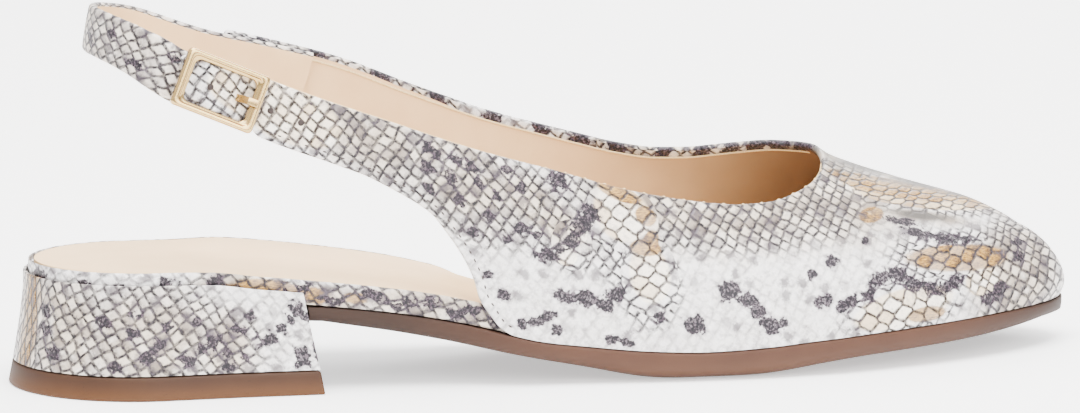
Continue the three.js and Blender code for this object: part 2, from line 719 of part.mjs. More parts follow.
function upperStations(side) {
  const shift = side > 0 ? CUT_SHIFT : 0;
  const start = side > 0 ? MEDIAL_QUARTER_END : buckle.middle.x + TAIL_END * buckle.along.x;
  const strapEnd = QUARTER_CUT.strap * LAST_LENGTH;
  const cutStart = QUARTER_CUT.from * LAST_LENGTH + shift;
  const cutMiddle = QUARTER_CUT.steep * LAST_LENGTH + shift;
  const cutEnd = QUARTER_CUT.to * LAST_LENGTH + shift;
  const bend = start + TAIL_ROUND;
  return [
    ...spaced(start, bend, 3, 'start'),
    ...spaced(bend, strapEnd, side > 0 ? 3 : 14, 'even').slice(1),
    ...spaced(strapEnd, cutStart, 4, 'even').slice(1),
    ...spaced(cutStart, cutMiddle, 6, 'end').slice(1),
    ...spaced(cutMiddle, cutEnd, 6, 'start').slice(1),
    ...spaced(cutEnd, THROAT_X - THROAT_DEPTH / 2, 12, 'even').slice(1),
    ...spaced(THROAT_X - THROAT_DEPTH / 2, THROAT_X, 10, 'end').slice(1),
    ...spaced(THROAT_X, TIP_X, 17, 'end').slice(1),
  ];
}

function upperShell() {
  const skin = new Skin();
  for (const side of [-1, 1]) {
    const stations = upperStations(side);
    const rows = stations.map((x) => upperRow(side, x));
    const put = (a, b, c, d) => (side > 0 ? skin.quad(a, b, c, d) : skin.quad(d, c, b, a));
    for (let i = 0; i < rows.length - 1; i += 1) {
      const here = rows[i];
      const next = rows[i + 1];
      for (let k = 0; k < RIB_STEPS; k += 1) {
        put(here.outer[k], here.outer[k + 1], next.outer[k + 1], next.outer[k]);
        put(here.inner[k], next.inner[k], next.inner[k + 1], here.inner[k + 1]);
      }
      put(here.outer[0], next.outer[0], next.inner[0], here.inner[0]);
      if (stations[i] < THROAT_X - 1e-6) {
        const n = RIB_STEPS;
        put(here.outer[n], here.inner[n], next.inner[n], next.outer[n]);
      }
    }
    const first = rows[0];
    for (let k = 0; k < RIB_STEPS; k += 1) {
      put(first.outer[k], first.inner[k], first.inner[k + 1], first.outer[k + 1]);
    }
  }
  return skin.geometry();
}

// A round or slotted punch through the strap, along the buckle's outward direction
function punch(along, length, width) {
  const outline = new THREE.Shape();
  const r = width / 2;
  const flat = Math.max(length - width, 0) / 2;
  outline.absarc(flat, 0, r, -Math.PI / 2, Math.PI / 2, false);
  outline.absarc(-flat, 0, r, Math.PI / 2, (3 * Math.PI) / 2, false);
  const settings = { depth: PUNCH_DEPTH, bevelEnabled: false, curveSegments: 5 };
  const shape = new THREE.ExtrudeGeometry(outline, settings);
  shape.translate(0, 0, -PUNCH_DEPTH / 2);
  return toManifold(placeOnBuckle(shape, along, 0));
}

function placeOnBuckle(geometry, along, out) {
  const frame = new THREE.Matrix4();
  const right = new THREE.Vector3().crossVectors(buckle.across, buckle.out);
  frame.makeBasis(right, buckle.across, buckle.out);
  frame.setPosition(bucklePoint(along, 0, out));
  return geometry.applyMatrix4(frame);
}

const PRONG_HOLE = BAR_INNER - PRONG_HOLE_INSET;

function upperSolid() {
  let solid = toManifold(upperShell());
  solid = solid.subtract(punch(PRONG_HOLE, PRONG_HOLE_LENGTH, PRONG_WIDTH + 2 * CLEARANCE));
  for (const step of [-1, 1, 2]) {
    solid = solid.subtract(punch(PRONG_HOLE + step * HOLE_PITCH, HOLE_DIAMETER, HOLE_DIAMETER));
  }
  return fromManifold(solid);
}

// Sling strap: from the loop on the buckle's centre bar round the heel to the inside of the quarter
function slingPath() {
  const middle = STRAP_THICKNESS / 2;
  const bar = BUCKLE_LENGTH / 2;
  const underTail = -TAIL_WALL - 2.5 * CLEARANCE - middle;
  const points = [];
  points.push(bucklePoint(CENTRE_BAR / 2 + LOOP_FRONT, 0, LOOP_TOP - middle));
  points.push(bucklePoint(-CENTRE_BAR / 2 - LOOP_BACK, 0, LOOP_TOP - middle));
  points.push(bucklePoint(-BAR_INNER + 1, 0, underTail));
  points.push(bucklePoint(-bar, 0, underTail));
  const roundX = STRAP_BACK_X + STRAP_HALF_WIDTH - STRAP_ROUND_INSET;
  for (const row of SLING) {
    const turn = radians(row.turn);
    const x = roundX - (roundX - STRAP_BACK_X - middle) * Math.sin(turn);
    const y = -STRAP_HALF_WIDTH * Math.cos(turn);
    points.push(new THREE.Vector3(x, y, COLLAR_HEIGHT * row.height - STRAP_BACK_DROP));
  }
  const inside = WALL + 2 * CLEARANCE + middle;
  for (const share of [0, 0.5, 1]) {
    const x = MEDIAL_QUARTER_END - 6 + (STRAP_OVERLAP + 6) * share;
    const line = rib(1, x);
    const t = reach((value) => line(value).z, strapMiddle(1, x));
    points.push(line(t).addScaledVector(outward(1, x, t), -inside));
  }
  return new THREE.CatmullRomCurve3(points, false, 'centripetal');
}

function slingSolid() {
  const path = slingPath();
  const count = 64;
  const rings = [];
  for (let i = 0; i <= count; i += 1) {
    const u = i / count;
    const point = path.getPointAt(u);
    const along = path.getTangentAt(u);
    const back = Math.exp(-(((point.x - STRAP_BACK_X) / STRAP_BACK_REACH) ** 2));
    const across = new THREE.Vector3(0, 0, 1).addScaledVector(along, -along.z).normalize();
    const out = new THREE.Vector3().crossVectors(across, along).normalize();
    const lean = radians(mix(leanAt(point), STRAP_LEAN, back));
    const up = across.clone().multiplyScalar(Math.cos(lean)).addScaledVector(out, -Math.sin(lean));
    const face = out.clone().multiplyScalar(Math.cos(lean)).addScaledVector(across, Math.sin(lean));
    const wide = mix(STRAP_WIDTH, STRAP_BACK_WIDTH, back) / 2;
    const thick = STRAP_THICKNESS / 2;
    const corner = STRAP_EDGE;
    const outline = [
      [-wide + corner, -thick],
      [wide - corner, -thick],
      [wide, -thick + corner],
      [wide, thick - corner],
      [wide - corner, thick],
      [-wide + corner, thick],
      [-wide, thick - corner],
      [-wide, -thick + corner],
    ];
    rings.push(outline.map(([a, b]) => point.clone().addScaledVector(up, a).addScaledVector(face, b)));
  }
  const fork = new THREE.BoxGeometry(2 * PRONG_SLOT, PRONG_WIDTH + 4 * CLEARANCE, PUNCH_DEPTH);
  const slot = toManifold(placeOnBuckle(fork, PRONG_SLOT - CENTRE_BAR / 2 - PRONG_SLOT_BACK, -2));
  return fromManifold(toManifold(loft(rings)).subtract(slot));
}

// Lean of the last's wall beside the strap, so that the strap lies against it
function leanAt(point) {
  const side = point.y > 0 ? 1 : -1;
  const x = Math.max(point.x, STRAP_BACK_X + STRAP_BACK_REACH);
  const line = rib(side, x);
  const t = reach((value) => line(value).z, point.z);
  const normal = outward(side, x, t);
  return THREE.MathUtils.radToDeg(Math.asin(normal.z));
}

// Buckle frame with its centre bar on two posts
function buckleFrameSolid() {
  const plate = (length, width, corner) => {
    const shape = new THREE.Shape();
    const x = length / 2 - corner;
    const y = width / 2 - corner;
    shape.absarc(x, y, corner, 0, Math.PI / 2, false);
    shape.absarc(-x, y, corner, Math.PI / 2, Math.PI, false);
    shape.absarc(-x, -y, corner, Math.PI, 1.5 * Math.PI, false);
    shape.absarc(x, -y, corner, 1.5 * Math.PI, 2 * Math.PI, false);
    return shape;
  };
  const outline = plate(BUCKLE_LENGTH, BUCKLE_WIDTH, BUCKLE_CORNER);
  outline.holes.push(plate(BUCKLE_LENGTH - 2 * END_BAR, BUCKLE_WIDTH - 2 * SIDE_BAR, BUCKLE_CORNER));
  const settings = { depth: BUCKLE_THICKNESS, bevelEnabled: false, curveSegments: 3 };
  const frame = toManifold(new THREE.ExtrudeGeometry(outline, settings));
  const reachOut = BUCKLE_WIDTH / 2 - SIDE_BAR * 0.15;
  const bar = new THREE.CylinderGeometry(CENTRE_BAR / 2, CENTRE_BAR / 2, 2 * reachOut, 10);
  bar.translate(0, 0, BAR_MIDDLE - FRAME_BASE);
  let solid = frame.add(toManifold(bar));
  const postWidth = SIDE_BAR * 0.7;
  const postHeight = FRAME_BASE - BAR_MIDDLE + BUCKLE_THICKNESS / 2;
  for (const side of [-1, 1]) {
    const post = new THREE.BoxGeometry(CENTRE_BAR, postWidth, postHeight);
    post.translate(0, side * (BUCKLE_WIDTH / 2 - SIDE_BAR / 2), BAR_MIDDLE - FRAME_BASE + postHeight / 2);
    solid = solid.add(toManifold(post));
  }
  return placeOnBuckle(fromManifold(solid), 0, FRAME_BASE);
}

// Prong: a ring on the centre bar and an arm up through the hole and over the front bar
function prongSolid() {
  const ringOuter = CENTRE_BAR / 2 + CLEARANCE + PRONG_RING;
  const ringInner = CENTRE_BAR / 2 + CLEARANCE;
  const over = FRAME_BASE + BUCKLE_THICKNESS + CLEARANCE;
  const tip = BUCKLE_LENGTH / 2 + PRONG_OVERHANG;
  const settings = { depth: PRONG_WIDTH, bevelEnabled: false, curveSegments: 10 };
  const ring = new THREE.Shape();
  ring.absarc(0, BAR_MIDDLE, ringOuter, 0, 2 * Math.PI, false);
  const bore = new THREE.Path();
  bore.absarc(0, BAR_MIDDLE, ringInner, 0, 2 * Math.PI, true);
  ring.holes.push(bore);
  const rise = PRONG_HOLE - PRONG_HOLE_LENGTH * 0.3;
  const front = BAR_INNER - CLEARANCE;
  const arm = new THREE.Shape();
  const armTop = RING_TOP - PRONG_TOP_PLAY;
  arm.moveTo(ringInner + PRONG_TOP_PLAY, armTop - PRONG_THICKNESS);
  arm.lineTo(rise + PRONG_BEND, armTop - PRONG_THICKNESS);
  arm.lineTo(front, over);
  arm.lineTo(tip, over);
  arm.lineTo(tip, over + PRONG_THICKNESS * 0.6);
  arm.lineTo(tip - PRONG_BEND, over + PRONG_THICKNESS);
  arm.lineTo(front - PRONG_TOP_BEND, over + PRONG_THICKNESS);
  arm.lineTo(rise - PRONG_BEND, armTop);
  arm.lineTo(ringInner + PRONG_TOP_PLAY, armTop);
  const profile = toManifold(new THREE.ExtrudeGeometry(ring, settings));
  const solid = profile.add(toManifold(new THREE.ExtrudeGeometry(arm, settings)));
  const geometry = fromManifold(solid);
  geometry.translate(0, 0, -PRONG_WIDTH / 2);
  geometry.rotateX(Math.PI / 2);
  return placeOnBuckle(geometry, 0, 0);
}

// Materials
const snake = { color: '#cfc8c0', roughness: 0.42, metalness: 0.15 };
const brown = { color: '#96694b', roughness: 0.55, metalness: 0 };
const beige = { color: '#e2d0bd', roughness: 0.7, metalness: 0 };
const gold = { color: '#dcc394', roughness: 0.25, metalness: 1 };

const shoe = new THREE.Group();

function addPiece(name, geometry, finish) {
  const flat = geometry.index ? geometry.toNonIndexed() : geometry;
  flat.computeVertexNormals();
  const piece = new THREE.Mesh(flat, new THREE.MeshStandardMaterial(finish));
  piece.name = name;
  piece.position.set(-ORIGIN_X, 0, 0);
  shoe.add(piece);
}

addPiece('outsole', soleSolid(), brown);
addPiece('insole_board', fromManifold(boardSlab(0).subtract(sockSlab(CLEARANCE))), snake);
addPiece('insole_sock', fromManifold(sockSlab(0)), beige);
addPiece('heel_block', heelBlockSolid(), snake);
addPiece('heel_top_piece', topPieceSolid(), brown);
addPiece('upper', upperSolid(), snake);
addPiece('sling_strap', slingSolid(), snake);
addPiece('buckle_frame', buckleFrameSolid(), gold);
addPiece('buckle_prong', prongSolid(), gold);

export default shoe;
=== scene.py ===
# Look of the slingback shoe: fine surfaces over the frame, leather, lining, metal and the photo's view.
# Shapes are worked out in millimetres from the rear of the insole board, then moved to the frame.

import math

import bmesh
import bpy
import numpy as np
from mathutils import Matrix, Vector


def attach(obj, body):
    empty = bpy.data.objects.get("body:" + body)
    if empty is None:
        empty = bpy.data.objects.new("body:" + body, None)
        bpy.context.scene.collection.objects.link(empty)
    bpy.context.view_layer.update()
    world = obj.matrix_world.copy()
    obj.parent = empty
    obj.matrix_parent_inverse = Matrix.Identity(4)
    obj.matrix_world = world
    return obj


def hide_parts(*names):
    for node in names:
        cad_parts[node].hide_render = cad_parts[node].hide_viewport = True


bl_info = {
    "name": "Slingback shoe",
    "version": (1, 0, 0),
    "blender": (4, 5, 0),
    "location": "View3D > Sidebar > Shoe",
    "description": "Builds the visible pieces of a slingback shoe over its frame",
    "category": "Add Mesh",
}

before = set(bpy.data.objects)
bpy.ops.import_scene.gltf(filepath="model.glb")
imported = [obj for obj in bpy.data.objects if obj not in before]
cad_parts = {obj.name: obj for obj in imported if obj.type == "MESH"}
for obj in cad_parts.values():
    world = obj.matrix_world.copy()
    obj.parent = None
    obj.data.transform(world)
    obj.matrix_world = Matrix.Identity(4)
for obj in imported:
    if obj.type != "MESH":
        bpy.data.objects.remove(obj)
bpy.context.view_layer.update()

MM = 0.001

# Driving dimensions, millimetres, the same as in the part's source
LAST_LENGTH = 254
BALL_WIDTH = 73.8
SEAT_WIDTH = 52.5
SEAT_ROUND = 26
SEAT_HEIGHT = 23.8
ARCH_TWIST = 0.0375
TOE_SPRING = 3.8
TOE_CAP_START = 0.735
TOE_POINT = 1.6
TOE_CREST_START = 0.905
TOE_OVERHANG = 1.5
TOE_OVERHANG_HEIGHT = 5
CREST_HEIGHT = 46
SOLE_THICKNESS = 6.7
SHANK_THICKNESS = 4.1
TOE_THICKNESS = 3.6
SOLE_EDGE = 0.6
SOLE_ROUNDING = 7
BOARD_THICKNESS = 5.6
FORE_BOARD_THICKNESS = 2.4
FORE_BOARD_INSET = 0.5
SOCK_THICKNESS = 0.9
SOCK_GAP = 0.4
SOCK_INSET = 1.4
LIFT_THICKNESS = 5.5
HEEL_FLARE = 3.7
HEEL_FLARE_POWER = 1.3
HEEL_LENGTH = 59.8
BREAST_LEAN = 3.8
CUP_WALL = 0.9
CUP_HEIGHT = 2.8
HEEL_MIDDLE = 30
WALL = 1.6
TAIL_WALL = 1.4
COLLAR_HEIGHT = 84.2
STRAP_BACK_DROP = 0.8
THROAT_X = 195.6
THROAT_DEPTH = 45.6
THROAT_FULLNESS = 2.25
THROAT_LATERAL = 31.5
THROAT_MEDIAL = 21
THROAT_SIDE = 6
CUT_SHIFT = 15
MEDIAL_QUARTER_END = 52
STRAP_WIDTH = 12.5
STRAP_BACK_WIDTH = 11
STRAP_THICKNESS = 2
STRAP_BACK_X = 14.3
STRAP_HALF_WIDTH = 25
STRAP_LEAN = 10
STRAP_BACK_REACH = 12
STRAP_ROUND_INSET = 3
STRAP_OVERLAP = 20
STRAP_RUN_IN = 6
BUCKLE_X = 40.2
BUCKLE_LENGTH = 20.4
BUCKLE_WIDTH = 14
END_BAR = 2.5
SIDE_BAR = 1.9
BUCKLE_THICKNESS = 2
BUCKLE_CORNER = 1
CENTRE_BAR = 1.2
LOOP_FRONT = 1.2
LOOP_BACK = 0.6
PRONG_RING = 0.6
PRONG_HOLE_INSET = 2.4
HOLE_PITCH = 7.7
CLEARANCE = 0.3
ORIGIN_X = 29

# Places along the last where a thickness or an outline changes, shares of its length
BOARD_THINS = (0.4, 0.48)
SOCK_RISES = (0.42, 0.45)
SOCK_WIDENS = (0.46, 0.5)
SOLE_WIDENS = (0.37, 0.43)
QUARTER_CUT = (0.34, 0.4203)

# Where the top line turns into the throat's curve, shares of the throat's depth
THROAT_BLEND_LATERAL = (0.4, 0.7)
THROAT_BLEND_MEDIAL = (0.7, 0.92)

# Sizes of the visible finish, millimetres: the upper's folded edge, its width on the print's map and where
# the tail thins before the buckle
FOLD_LIP = 2
FOLD_MAP = 1.6
TAIL_THINS = (6, 1)
# Seams: inset from the edge and the length left free at their ends
SEAM_INSET = 1.6
SEAM_STOP = 1.2
# Buckle's inner corner, and the strap's rolled edge, the depth of its face and its crown
INNER_CORNER = 1.6
STRAP_ROLL = 0.85
STRAP_SINK = 0.1
STRAP_CROWN = 0.12
# Length over which the sole's changes of slope are worn round
WORN_REACH = 9
# Places along the last between which marks can be put on the upper's map
MAP_RANGE = (16, 224)

# End of the quarter's seam as a share of the last, and the least share of a flat piece's half width
SEAM_END = 0.425
THINNEST = 0.02

# Points nearer than this are one point, in metres
MERGE_DISTANCE = 0.00001

# Plan of the last: share of the length, bend, spread
PLAN = [
    (0, 0, 0), (0.162, -0.001, 0), (0.223, -0.006, 0.03), (0.303, -0.024, 0.04), (0.384, -0.054, 0.03),
    (0.465, -0.076, 0.09), (0.546, -0.068, 0.35), (0.627, -0.037, 0.73), (0.688, -0.006, 0.96),
    (0.738, 0.015, 1), (0.789, 0.03, 1), (0.87, 0.037, 1), (0.94, 0.034, 1), (1, 0.02, 1),
]

# Seat line: share of the length, heel, toe, twist
SEAT = [
    (0, 1, 0, 0), (0.1, 0.99, 0, 0), (0.15, 0.975, 0, 0.1), (0.2, 0.93, 0, 0.95), (0.25, 0.85, 0, 1),
    (0.3, 0.755, 0, 0.9), (0.354, 0.63, 0, 0.85), (0.405, 0.455, 0, 0.75), (0.455, 0.24, 0, 0.4),
    (0.506, 0.11, 0, 0), (0.556, 0.035, 0, 0), (0.607, 0, 0, 0), (0.657, 0, 0.11, 0), (0.718, 0, 0.38, 0),
    (0.789, 0, 0.62, 0), (0.87, 0, 0.82, 0), (0.93, 0, 0.94, 0), (1, 0, 1, 0),
]

# Outsole: share of the length, shank, toe, ground
SOLE = [
    (0.24, 1, 0, 0), (0.272, 0.77, 0, 0), (0.327, 0.58, 0, 0), (0.363, 0.46, 0, 0), (0.4, 0.5, 0, 0),
    (0.438, 0.7, 0, 0), (0.473, 0.65, 0, 0), (0.513, 0.38, 0, 0), (0.548, 0.1, 0, 0.3), (0.565, 0, 0, 1),
    (0.66, 0, 0, 1), (0.69, 0, 0.02, 0.45), (0.72, 0, 0.12, 0.1), (0.75, 0, 0.2, 0), (0.88, 0, 0.26, 0),
    (0.911, 0, 0.36, 0), (0.955, 0, 0.6, 0), (0.98, 0, 0.8, 0), (1.01, 0, 1, 0),
]

# Sections: share of the length, crest, side, then low, top, lean on the lateral and on the medial side
SECTIONS = [
    (0.101, 2.63, 0, 0.4, 0.32, 0, 0.4, 0.32, 0),
    (0.233, 2.6, 0, 0.4, 0.33, 0, 0.4, 0.33, 2),
    (0.354, 2.43, 0, 0.4, 0.35, 1, 0.4, 0.37, 8),
    (0.475, 1.86, 0.054, 0.4, 0.28, 2, 0.4, 0.37, 17),
    (0.592, 1.51, 0.1, 0.35, 0.22, 4, 0.4, 0.24, 9),
    (0.688, 1.26, 0.12, 0.36, 0.22, 4, 0.42, 0.16, 4),
    (0.769, 1.055, 0.108, 0.38, 0.19, 4, 0.45, 0.15, 4),
    (0.779, 1.015, 0.105, 0.38, 0.19, 4, 0.45, 0.15, 4),
    (0.798, 0.97, 0.1, 0.39, 0.19, 4, 0.46, 0.15, 4),
    (0.85, 0.873, 0.085, 0.43, 0.2, 4, 0.5, 0.18, 4),
    (0.915, 0.765, 0.065, 0.5, 0.19, 4, 0.53, 0.17, 4),
    (0.952, 0.69, 0.05, 0.53, 0.14, 3, 0.53, 0.13, 3),
    (0.97, 0.66, 0.04, 0.54, 0.1, 2, 0.54, 0.1, 2),
    (1.01, 0.655, 0.02, 0.55, 0.03, 2, 0.55, 0.03, 2),
]

# Topline: share of the length, lateral and medial height as shares of the collar height
TOPLINE = [
    (0.101, 1, 1.02), (0.158, 0.929, 0.976), (0.237, 0.83, 0.917), (0.316, 0.744, 0.849),
    (0.394, 0.662, 0.755), (0.473, 0.592, 0.669), (0.552, 0.521, 0.603), (0.592, 0.495, 0.572),
    (0.631, 0.476, 0.554), (0.66, 0.468, 0.553), (0.688, 0.468, 0.561), (0.715, 0.467, 0.571),
    (0.741, 0.467, 0.58), (0.769, 0.467, 0.583),
]

# Lower edge of the quarter: share of the length, depth
CUT = [
    (0.253, 0), (0.288, 0.01), (0.324, 0.062), (0.352, 0.14), (0.37, 0.29), (0.379, 0.387),
    (0.388, 0.516), (0.393, 0.615), (0.397, 0.74), (0.405, 0.85), (0.415, 0.96), (0.425, 1),
]

# Sling strap around the heel: turn in degrees, height as a share of the collar height
SLING = [(32, 0.942), (50, 0.975), (70, 0.994), (90, 1), (112, 0.997), (135, 0.983), (160, 0.957)]


def curve(table, column):
    """Smooth curve through one column of a table, without overshoot."""
    x = np.array([row[0] for row in table], float)
    y = np.array([row[column] for row in table], float)
    step = np.diff(y) / np.diff(x)
    slope = np.empty_like(x)
    slope[0] = step[0]
    slope[-1] = step[-1]
    for i in range(1, len(x) - 1):
        if step[i - 1] * step[i] <= 0:
            slope[i] = 0
            continue
        before = x[i] - x[i - 1]
        after = x[i + 1] - x[i]
        weighted = (2 * after + before) / step[i - 1] + (after + 2 * before) / step[i]
        slope[i] = 3 * (before + after) / weighted

    def value(at):
        v = np.clip(at, x[0], x[-1])
        i = np.clip(np.searchsorted(x, v) - 1, 0, len(x) - 2)
        h = x[i + 1] - x[i]
        t = (v - x[i]) / h
        blend = t * t * (3 - 2 * t)
        rise = t * (1 - t) * (1 - t) * slope[i] - t * t * (1 - t) * slope[i + 1]
        return y[i] + (y[i + 1] - y[i]) * blend + h * rise

    return value


def mix(a, b, share):
    return a + (b - a) * share


def ramp(start, end, value):
    t = np.clip((value - start) / (end - start), 0, 1)
    return t * t * (3 - 2 * t)


def unit(v):
    return v / np.maximum(np.linalg.norm(v, axis=-1, keepdims=True), 1e-9)


def stack(*parts):
    return np.stack(np.broadcast_arrays(*[np.asarray(part, float) for part in parts]), axis=-1)


def walked(points):
    """Distance along a line of points, from 0 at its start."""
    return np.concatenate([[0], np.cumsum(np.linalg.norm(np.diff(points, axis=0), axis=1))])


def spaced(start, end, count, crowd="even"):
    """Stations from start to end, closer together towards one end."""
    t = np.linspace(0, 1, count + 1)
    if crowd == "start":
        t = 1 - np.cos(t * math.pi / 2)
    elif crowd == "end":
        t = np.sin(t * math.pi / 2)
    return mix(start, end, t)


plan_bend, plan_spread = curve(PLAN, 1), curve(PLAN, 2)
seat_heel, seat_toe, seat_twist = curve(SEAT, 1), curve(SEAT, 2), curve(SEAT, 3)
sole_shank, sole_toe, sole_ground = curve(SOLE, 1), curve(SOLE, 2), curve(SOLE, 3)
section = [None] + [curve(SECTIONS, column) for column in range(1, 9)]
topline_lateral, topline_medial = curve(TOPLINE, 1), curve(TOPLINE, 2)
cut_depth = curve(CUT, 1)
BALL_SEAT = SOLE_THICKNESS + CLEARANCE
TIP_X = LAST_LENGTH + WALL + CLEARANCE


def centre(x):
    return BALL_WIDTH * plan_bend(x / LAST_LENGTH)


def seat(x, y):
    share = x / LAST_LENGTH
    line = BALL_SEAT + (SEAT_HEIGHT - BALL_SEAT) * seat_heel(share) + TOE_SPRING * seat_toe(share)
    return line + ARCH_TWIST * seat_twist(share) * y


def board_half(x):
    share = x / LAST_LENGTH
    heel_cap = np.sqrt(1 - np.clip(1 - x / SEAT_ROUND, 0, 1) ** 2)
    toe_share = np.clip((share - TOE_CAP_START) / (1 - TOE_CAP_START), 0, 1)
    toe_cap = (1 - toe_share ** TOE_POINT) ** (1 / TOE_POINT)
    width = mix(SEAT_WIDTH, BALL_WIDTH, plan_spread(share)) * 0.5 * heel_cap * toe_cap
    return np.where((x <= 0) | (x >= LAST_LENGTH), 0, width)


def half(x, margin):
    """Half width of the board's outline grown by a margin all round, or shrunk by a negative one."""
    x, margin = np.broadcast_arrays(np.asarray(x, float), np.asarray(margin, float))
    turn = np.linspace(0, math.pi, 49)
    reach_out = np.abs(margin)[..., None]
    other = x[..., None] + reach_out * np.cos(turn)
    side = reach_out * np.sin(turn)
    inside = (other >= 0) & (other <= LAST_LENGTH)
    grown = np.where(inside, board_half(other) + side, 0).max(axis=-1)
    shrunk = np.where(inside, board_half(other) - side, 0).min(axis=-1)
    return np.maximum(np.where(margin < 0, shrunk, grown), 0)


def rib(side, x, t):
    """Point of the last's surface: t runs from the sole, 0, to the ridge, 1."""
    x, t = np.broadcast_arrays(np.asarray(x, float), np.asarray(t, float))
    share = x / LAST_LENGTH
    tip = np.clip((share - TOE_CREST_START) / (TIP_X / LAST_LENGTH - TOE_CREST_START), 0, 1)
    cap = np.sqrt(1 - tip ** 3)
    columns = (6, 7, 8) if side > 0 else (3, 4, 5)
    low_share, top_share, lean_turn = [section[column](share) for column in columns]
    foot_y = centre(x) + side * half(x, WALL + CLEARANCE)
    foot = seat(x, foot_y)
    height = (section[1](share) * CREST_HEIGHT - foot) * cap
    ridge_y = mix(BALL_WIDTH * section[2](share), centre(x), tip ** 4)
    lean = np.radians(lean_turn)
    low = height * low_share
    top = np.minimum(BALL_WIDTH * top_share, np.abs(ridge_y - foot_y) * 1.3)
    s = 1 - t
    w0, w1, w2, w3 = s ** 3, 3 * s * s * t, 3 * s * t * t, t ** 3
    side_y = foot_y + side * low * np.sin(lean)
    y = w0 * foot_y + w1 * side_y + w2 * (ridge_y + side * top) + w3 * ridge_y
    z = w0 * foot + w1 * (foot + low * np.cos(lean)) + (w2 + w3) * (foot + height)
    rise = (z - foot) / TOE_OVERHANG_HEIGHT
    overhang = TOE_OVERHANG * ramp(0.2, 0.8, tip) * rise * np.exp(1 - rise)
    return stack(x + overhang, y, z)


def reach(f, value, like):
    """Parameter at which a rising function reaches a value."""
    low = np.zeros_like(like, float)
    high = np.ones_like(low)
    for _ in range(30):
        t = (low + high) / 2
        below = f(t) < value
        low = np.where(below, t, low)
        high = np.where(below, high, t)
    return (low + high) / 2


def topline(side, x):
    share = x / LAST_LENGTH
    return COLLAR_HEIGHT * (topline_medial(share) if side > 0 else topline_lateral(share))


def strap_rise(side, x):
    slope = (topline(side, x + 1) - topline(side, x - 1)) / 2
    return STRAP_WIDTH * np.hypot(1, slope)


def outward(side, x, t):
    x, t = np.broadcast_arrays(np.asarray(x, float), np.asarray(t, float))
    dx = np.minimum(0.5, np.maximum(TIP_X - x, 0.01) * 0.2)
    t0 = np.maximum(t - 0.01, 0)
    t1 = np.minimum(t + 0.01, 1)
    lengthwise = rib(side, x + dx, t) - rib(side, x - dx, t)
    upwards = rib(side, x, t1) - rib(side, x, t0)
    upwards = np.where((t > 0.9999)[..., None], np.array([0.0, -side, 0.0]), upwards)
    normal = np.cross(upwards, lengthwise) * side
    normal[..., 2] = np.where(t <= 0, 0, normal[..., 2])
    normal = np.where((TIP_X - x < 0.01)[..., None], np.array([1.0, 0, 0]), normal)
    return unit(normal)


def wall_point(side, x, z):
    """Point of the last's surface at a place along the shoe and a height."""
    x = np.asarray(x, float)
    t = reach(lambda value: rib(side, x, value)[..., 2], z, x)
    return rib(side, x, t), outward(side, x, t)


def buckle_axes():
    def at(x):
        return wall_point(-1, x, topline(-1, x) - strap_rise(-1, x) / 2)[0]

    middle = at(BUCKLE_X)
    reach_x = BUCKLE_LENGTH / 2
    along = unit(at(BUCKLE_X + reach_x) - at(BUCKLE_X - reach_x))
    across = wall_point(-1, BUCKLE_X, topline(-1, BUCKLE_X))[0] - middle
    across = unit(across - along * across.dot(along))
    out = np.cross(along, across)
    return middle, along, across, out if out[1] < 0 else -out


BUCKLE = buckle_axes()
FRAME_BASE = 2 * CLEARANCE
TAIL_LIFT = 1.3
RING_TOP = TAIL_LIFT - TAIL_WALL - CLEARANCE
BAR_MIDDLE = RING_TOP - PRONG_RING - CLEARANCE - CENTRE_BAR / 2
LOOP_TOP = BAR_MIDDLE - CENTRE_BAR / 2 - 1.5 * CLEARANCE
TAIL_WIDTH = BUCKLE_WIDTH - 2 * SIDE_BAR - 2 * CLEARANCE
BAR_INNER = BUCKLE_LENGTH / 2 - END_BAR
TAIL_END = -(BAR_INNER + END_BAR / 2)
TAIL_ROUND = 1.5
PRONG_HOLE = BAR_INNER - PRONG_HOLE_INSET


def buckle_point(along, across, out):
    return BUCKLE[0] + BUCKLE[1] * along + BUCKLE[2] * across + BUCKLE[3] * out


def along_buckle(x):
    return (x - BUCKLE[0][0]) / BUCKLE[1][0]


def edges(side, x):
    """Lower and upper parameter of the upper's wall on each rib."""
    def height(t):
        return rib(side, x, t)[..., 2]

    foot = height(np.zeros_like(x))
    high = topline(side, x)
    share = np.clip((x - THROAT_X + THROAT_DEPTH) / THROAT_DEPTH, 0, 1)
    fullness = 2 if side > 0 else THROAT_FULLNESS
    span = (THROAT_MEDIAL if side > 0 else THROAT_LATERAL) * (1 - share ** fullness) ** (1 / fullness)
    throat = reach(lambda t: -side * rib(side, x, t)[..., 1], -side * (THROAT_SIDE + side * span), x)
    blend = ramp(*(THROAT_BLEND_MEDIAL if side > 0 else THROAT_BLEND_LATERAL), share)
    top = mix(reach(height, high, x), throat, blend)
    top = np.where(x >= THROAT_X - 1e-6, 1, top)
    depth = cut_depth((x - (CUT_SHIFT if side > 0 else 0)) / LAST_LENGTH)
    bottom = np.where(depth >= 1, 0, reach(height, high - mix(strap_rise(side, x), high - foot, depth), x))
    if side > 0:
        corner = ramp(0, 1, (x - MEDIAL_QUARTER_END) / TAIL_ROUND + 0.35)
        trim = (top - bottom) * 0.25 * (1 - corner)
        return bottom + trim, top - trim
    d = along_buckle(x)
    narrow = ramp(BUCKLE_LENGTH / 2, BAR_INNER, d)
    tip = np.clip((d - TAIL_END) / TAIL_ROUND, 0, 1)
    keep = mix(1, TAIL_WIDTH / STRAP_WIDTH, narrow) * np.sqrt(1 - 0.4 * (1 - tip) ** 2)
    keep = np.where(d < BUCKLE_LENGTH / 2, keep, 1)
    middle = (top + bottom) / 2
    return middle + (bottom - middle) * keep, middle + (top - middle) * keep


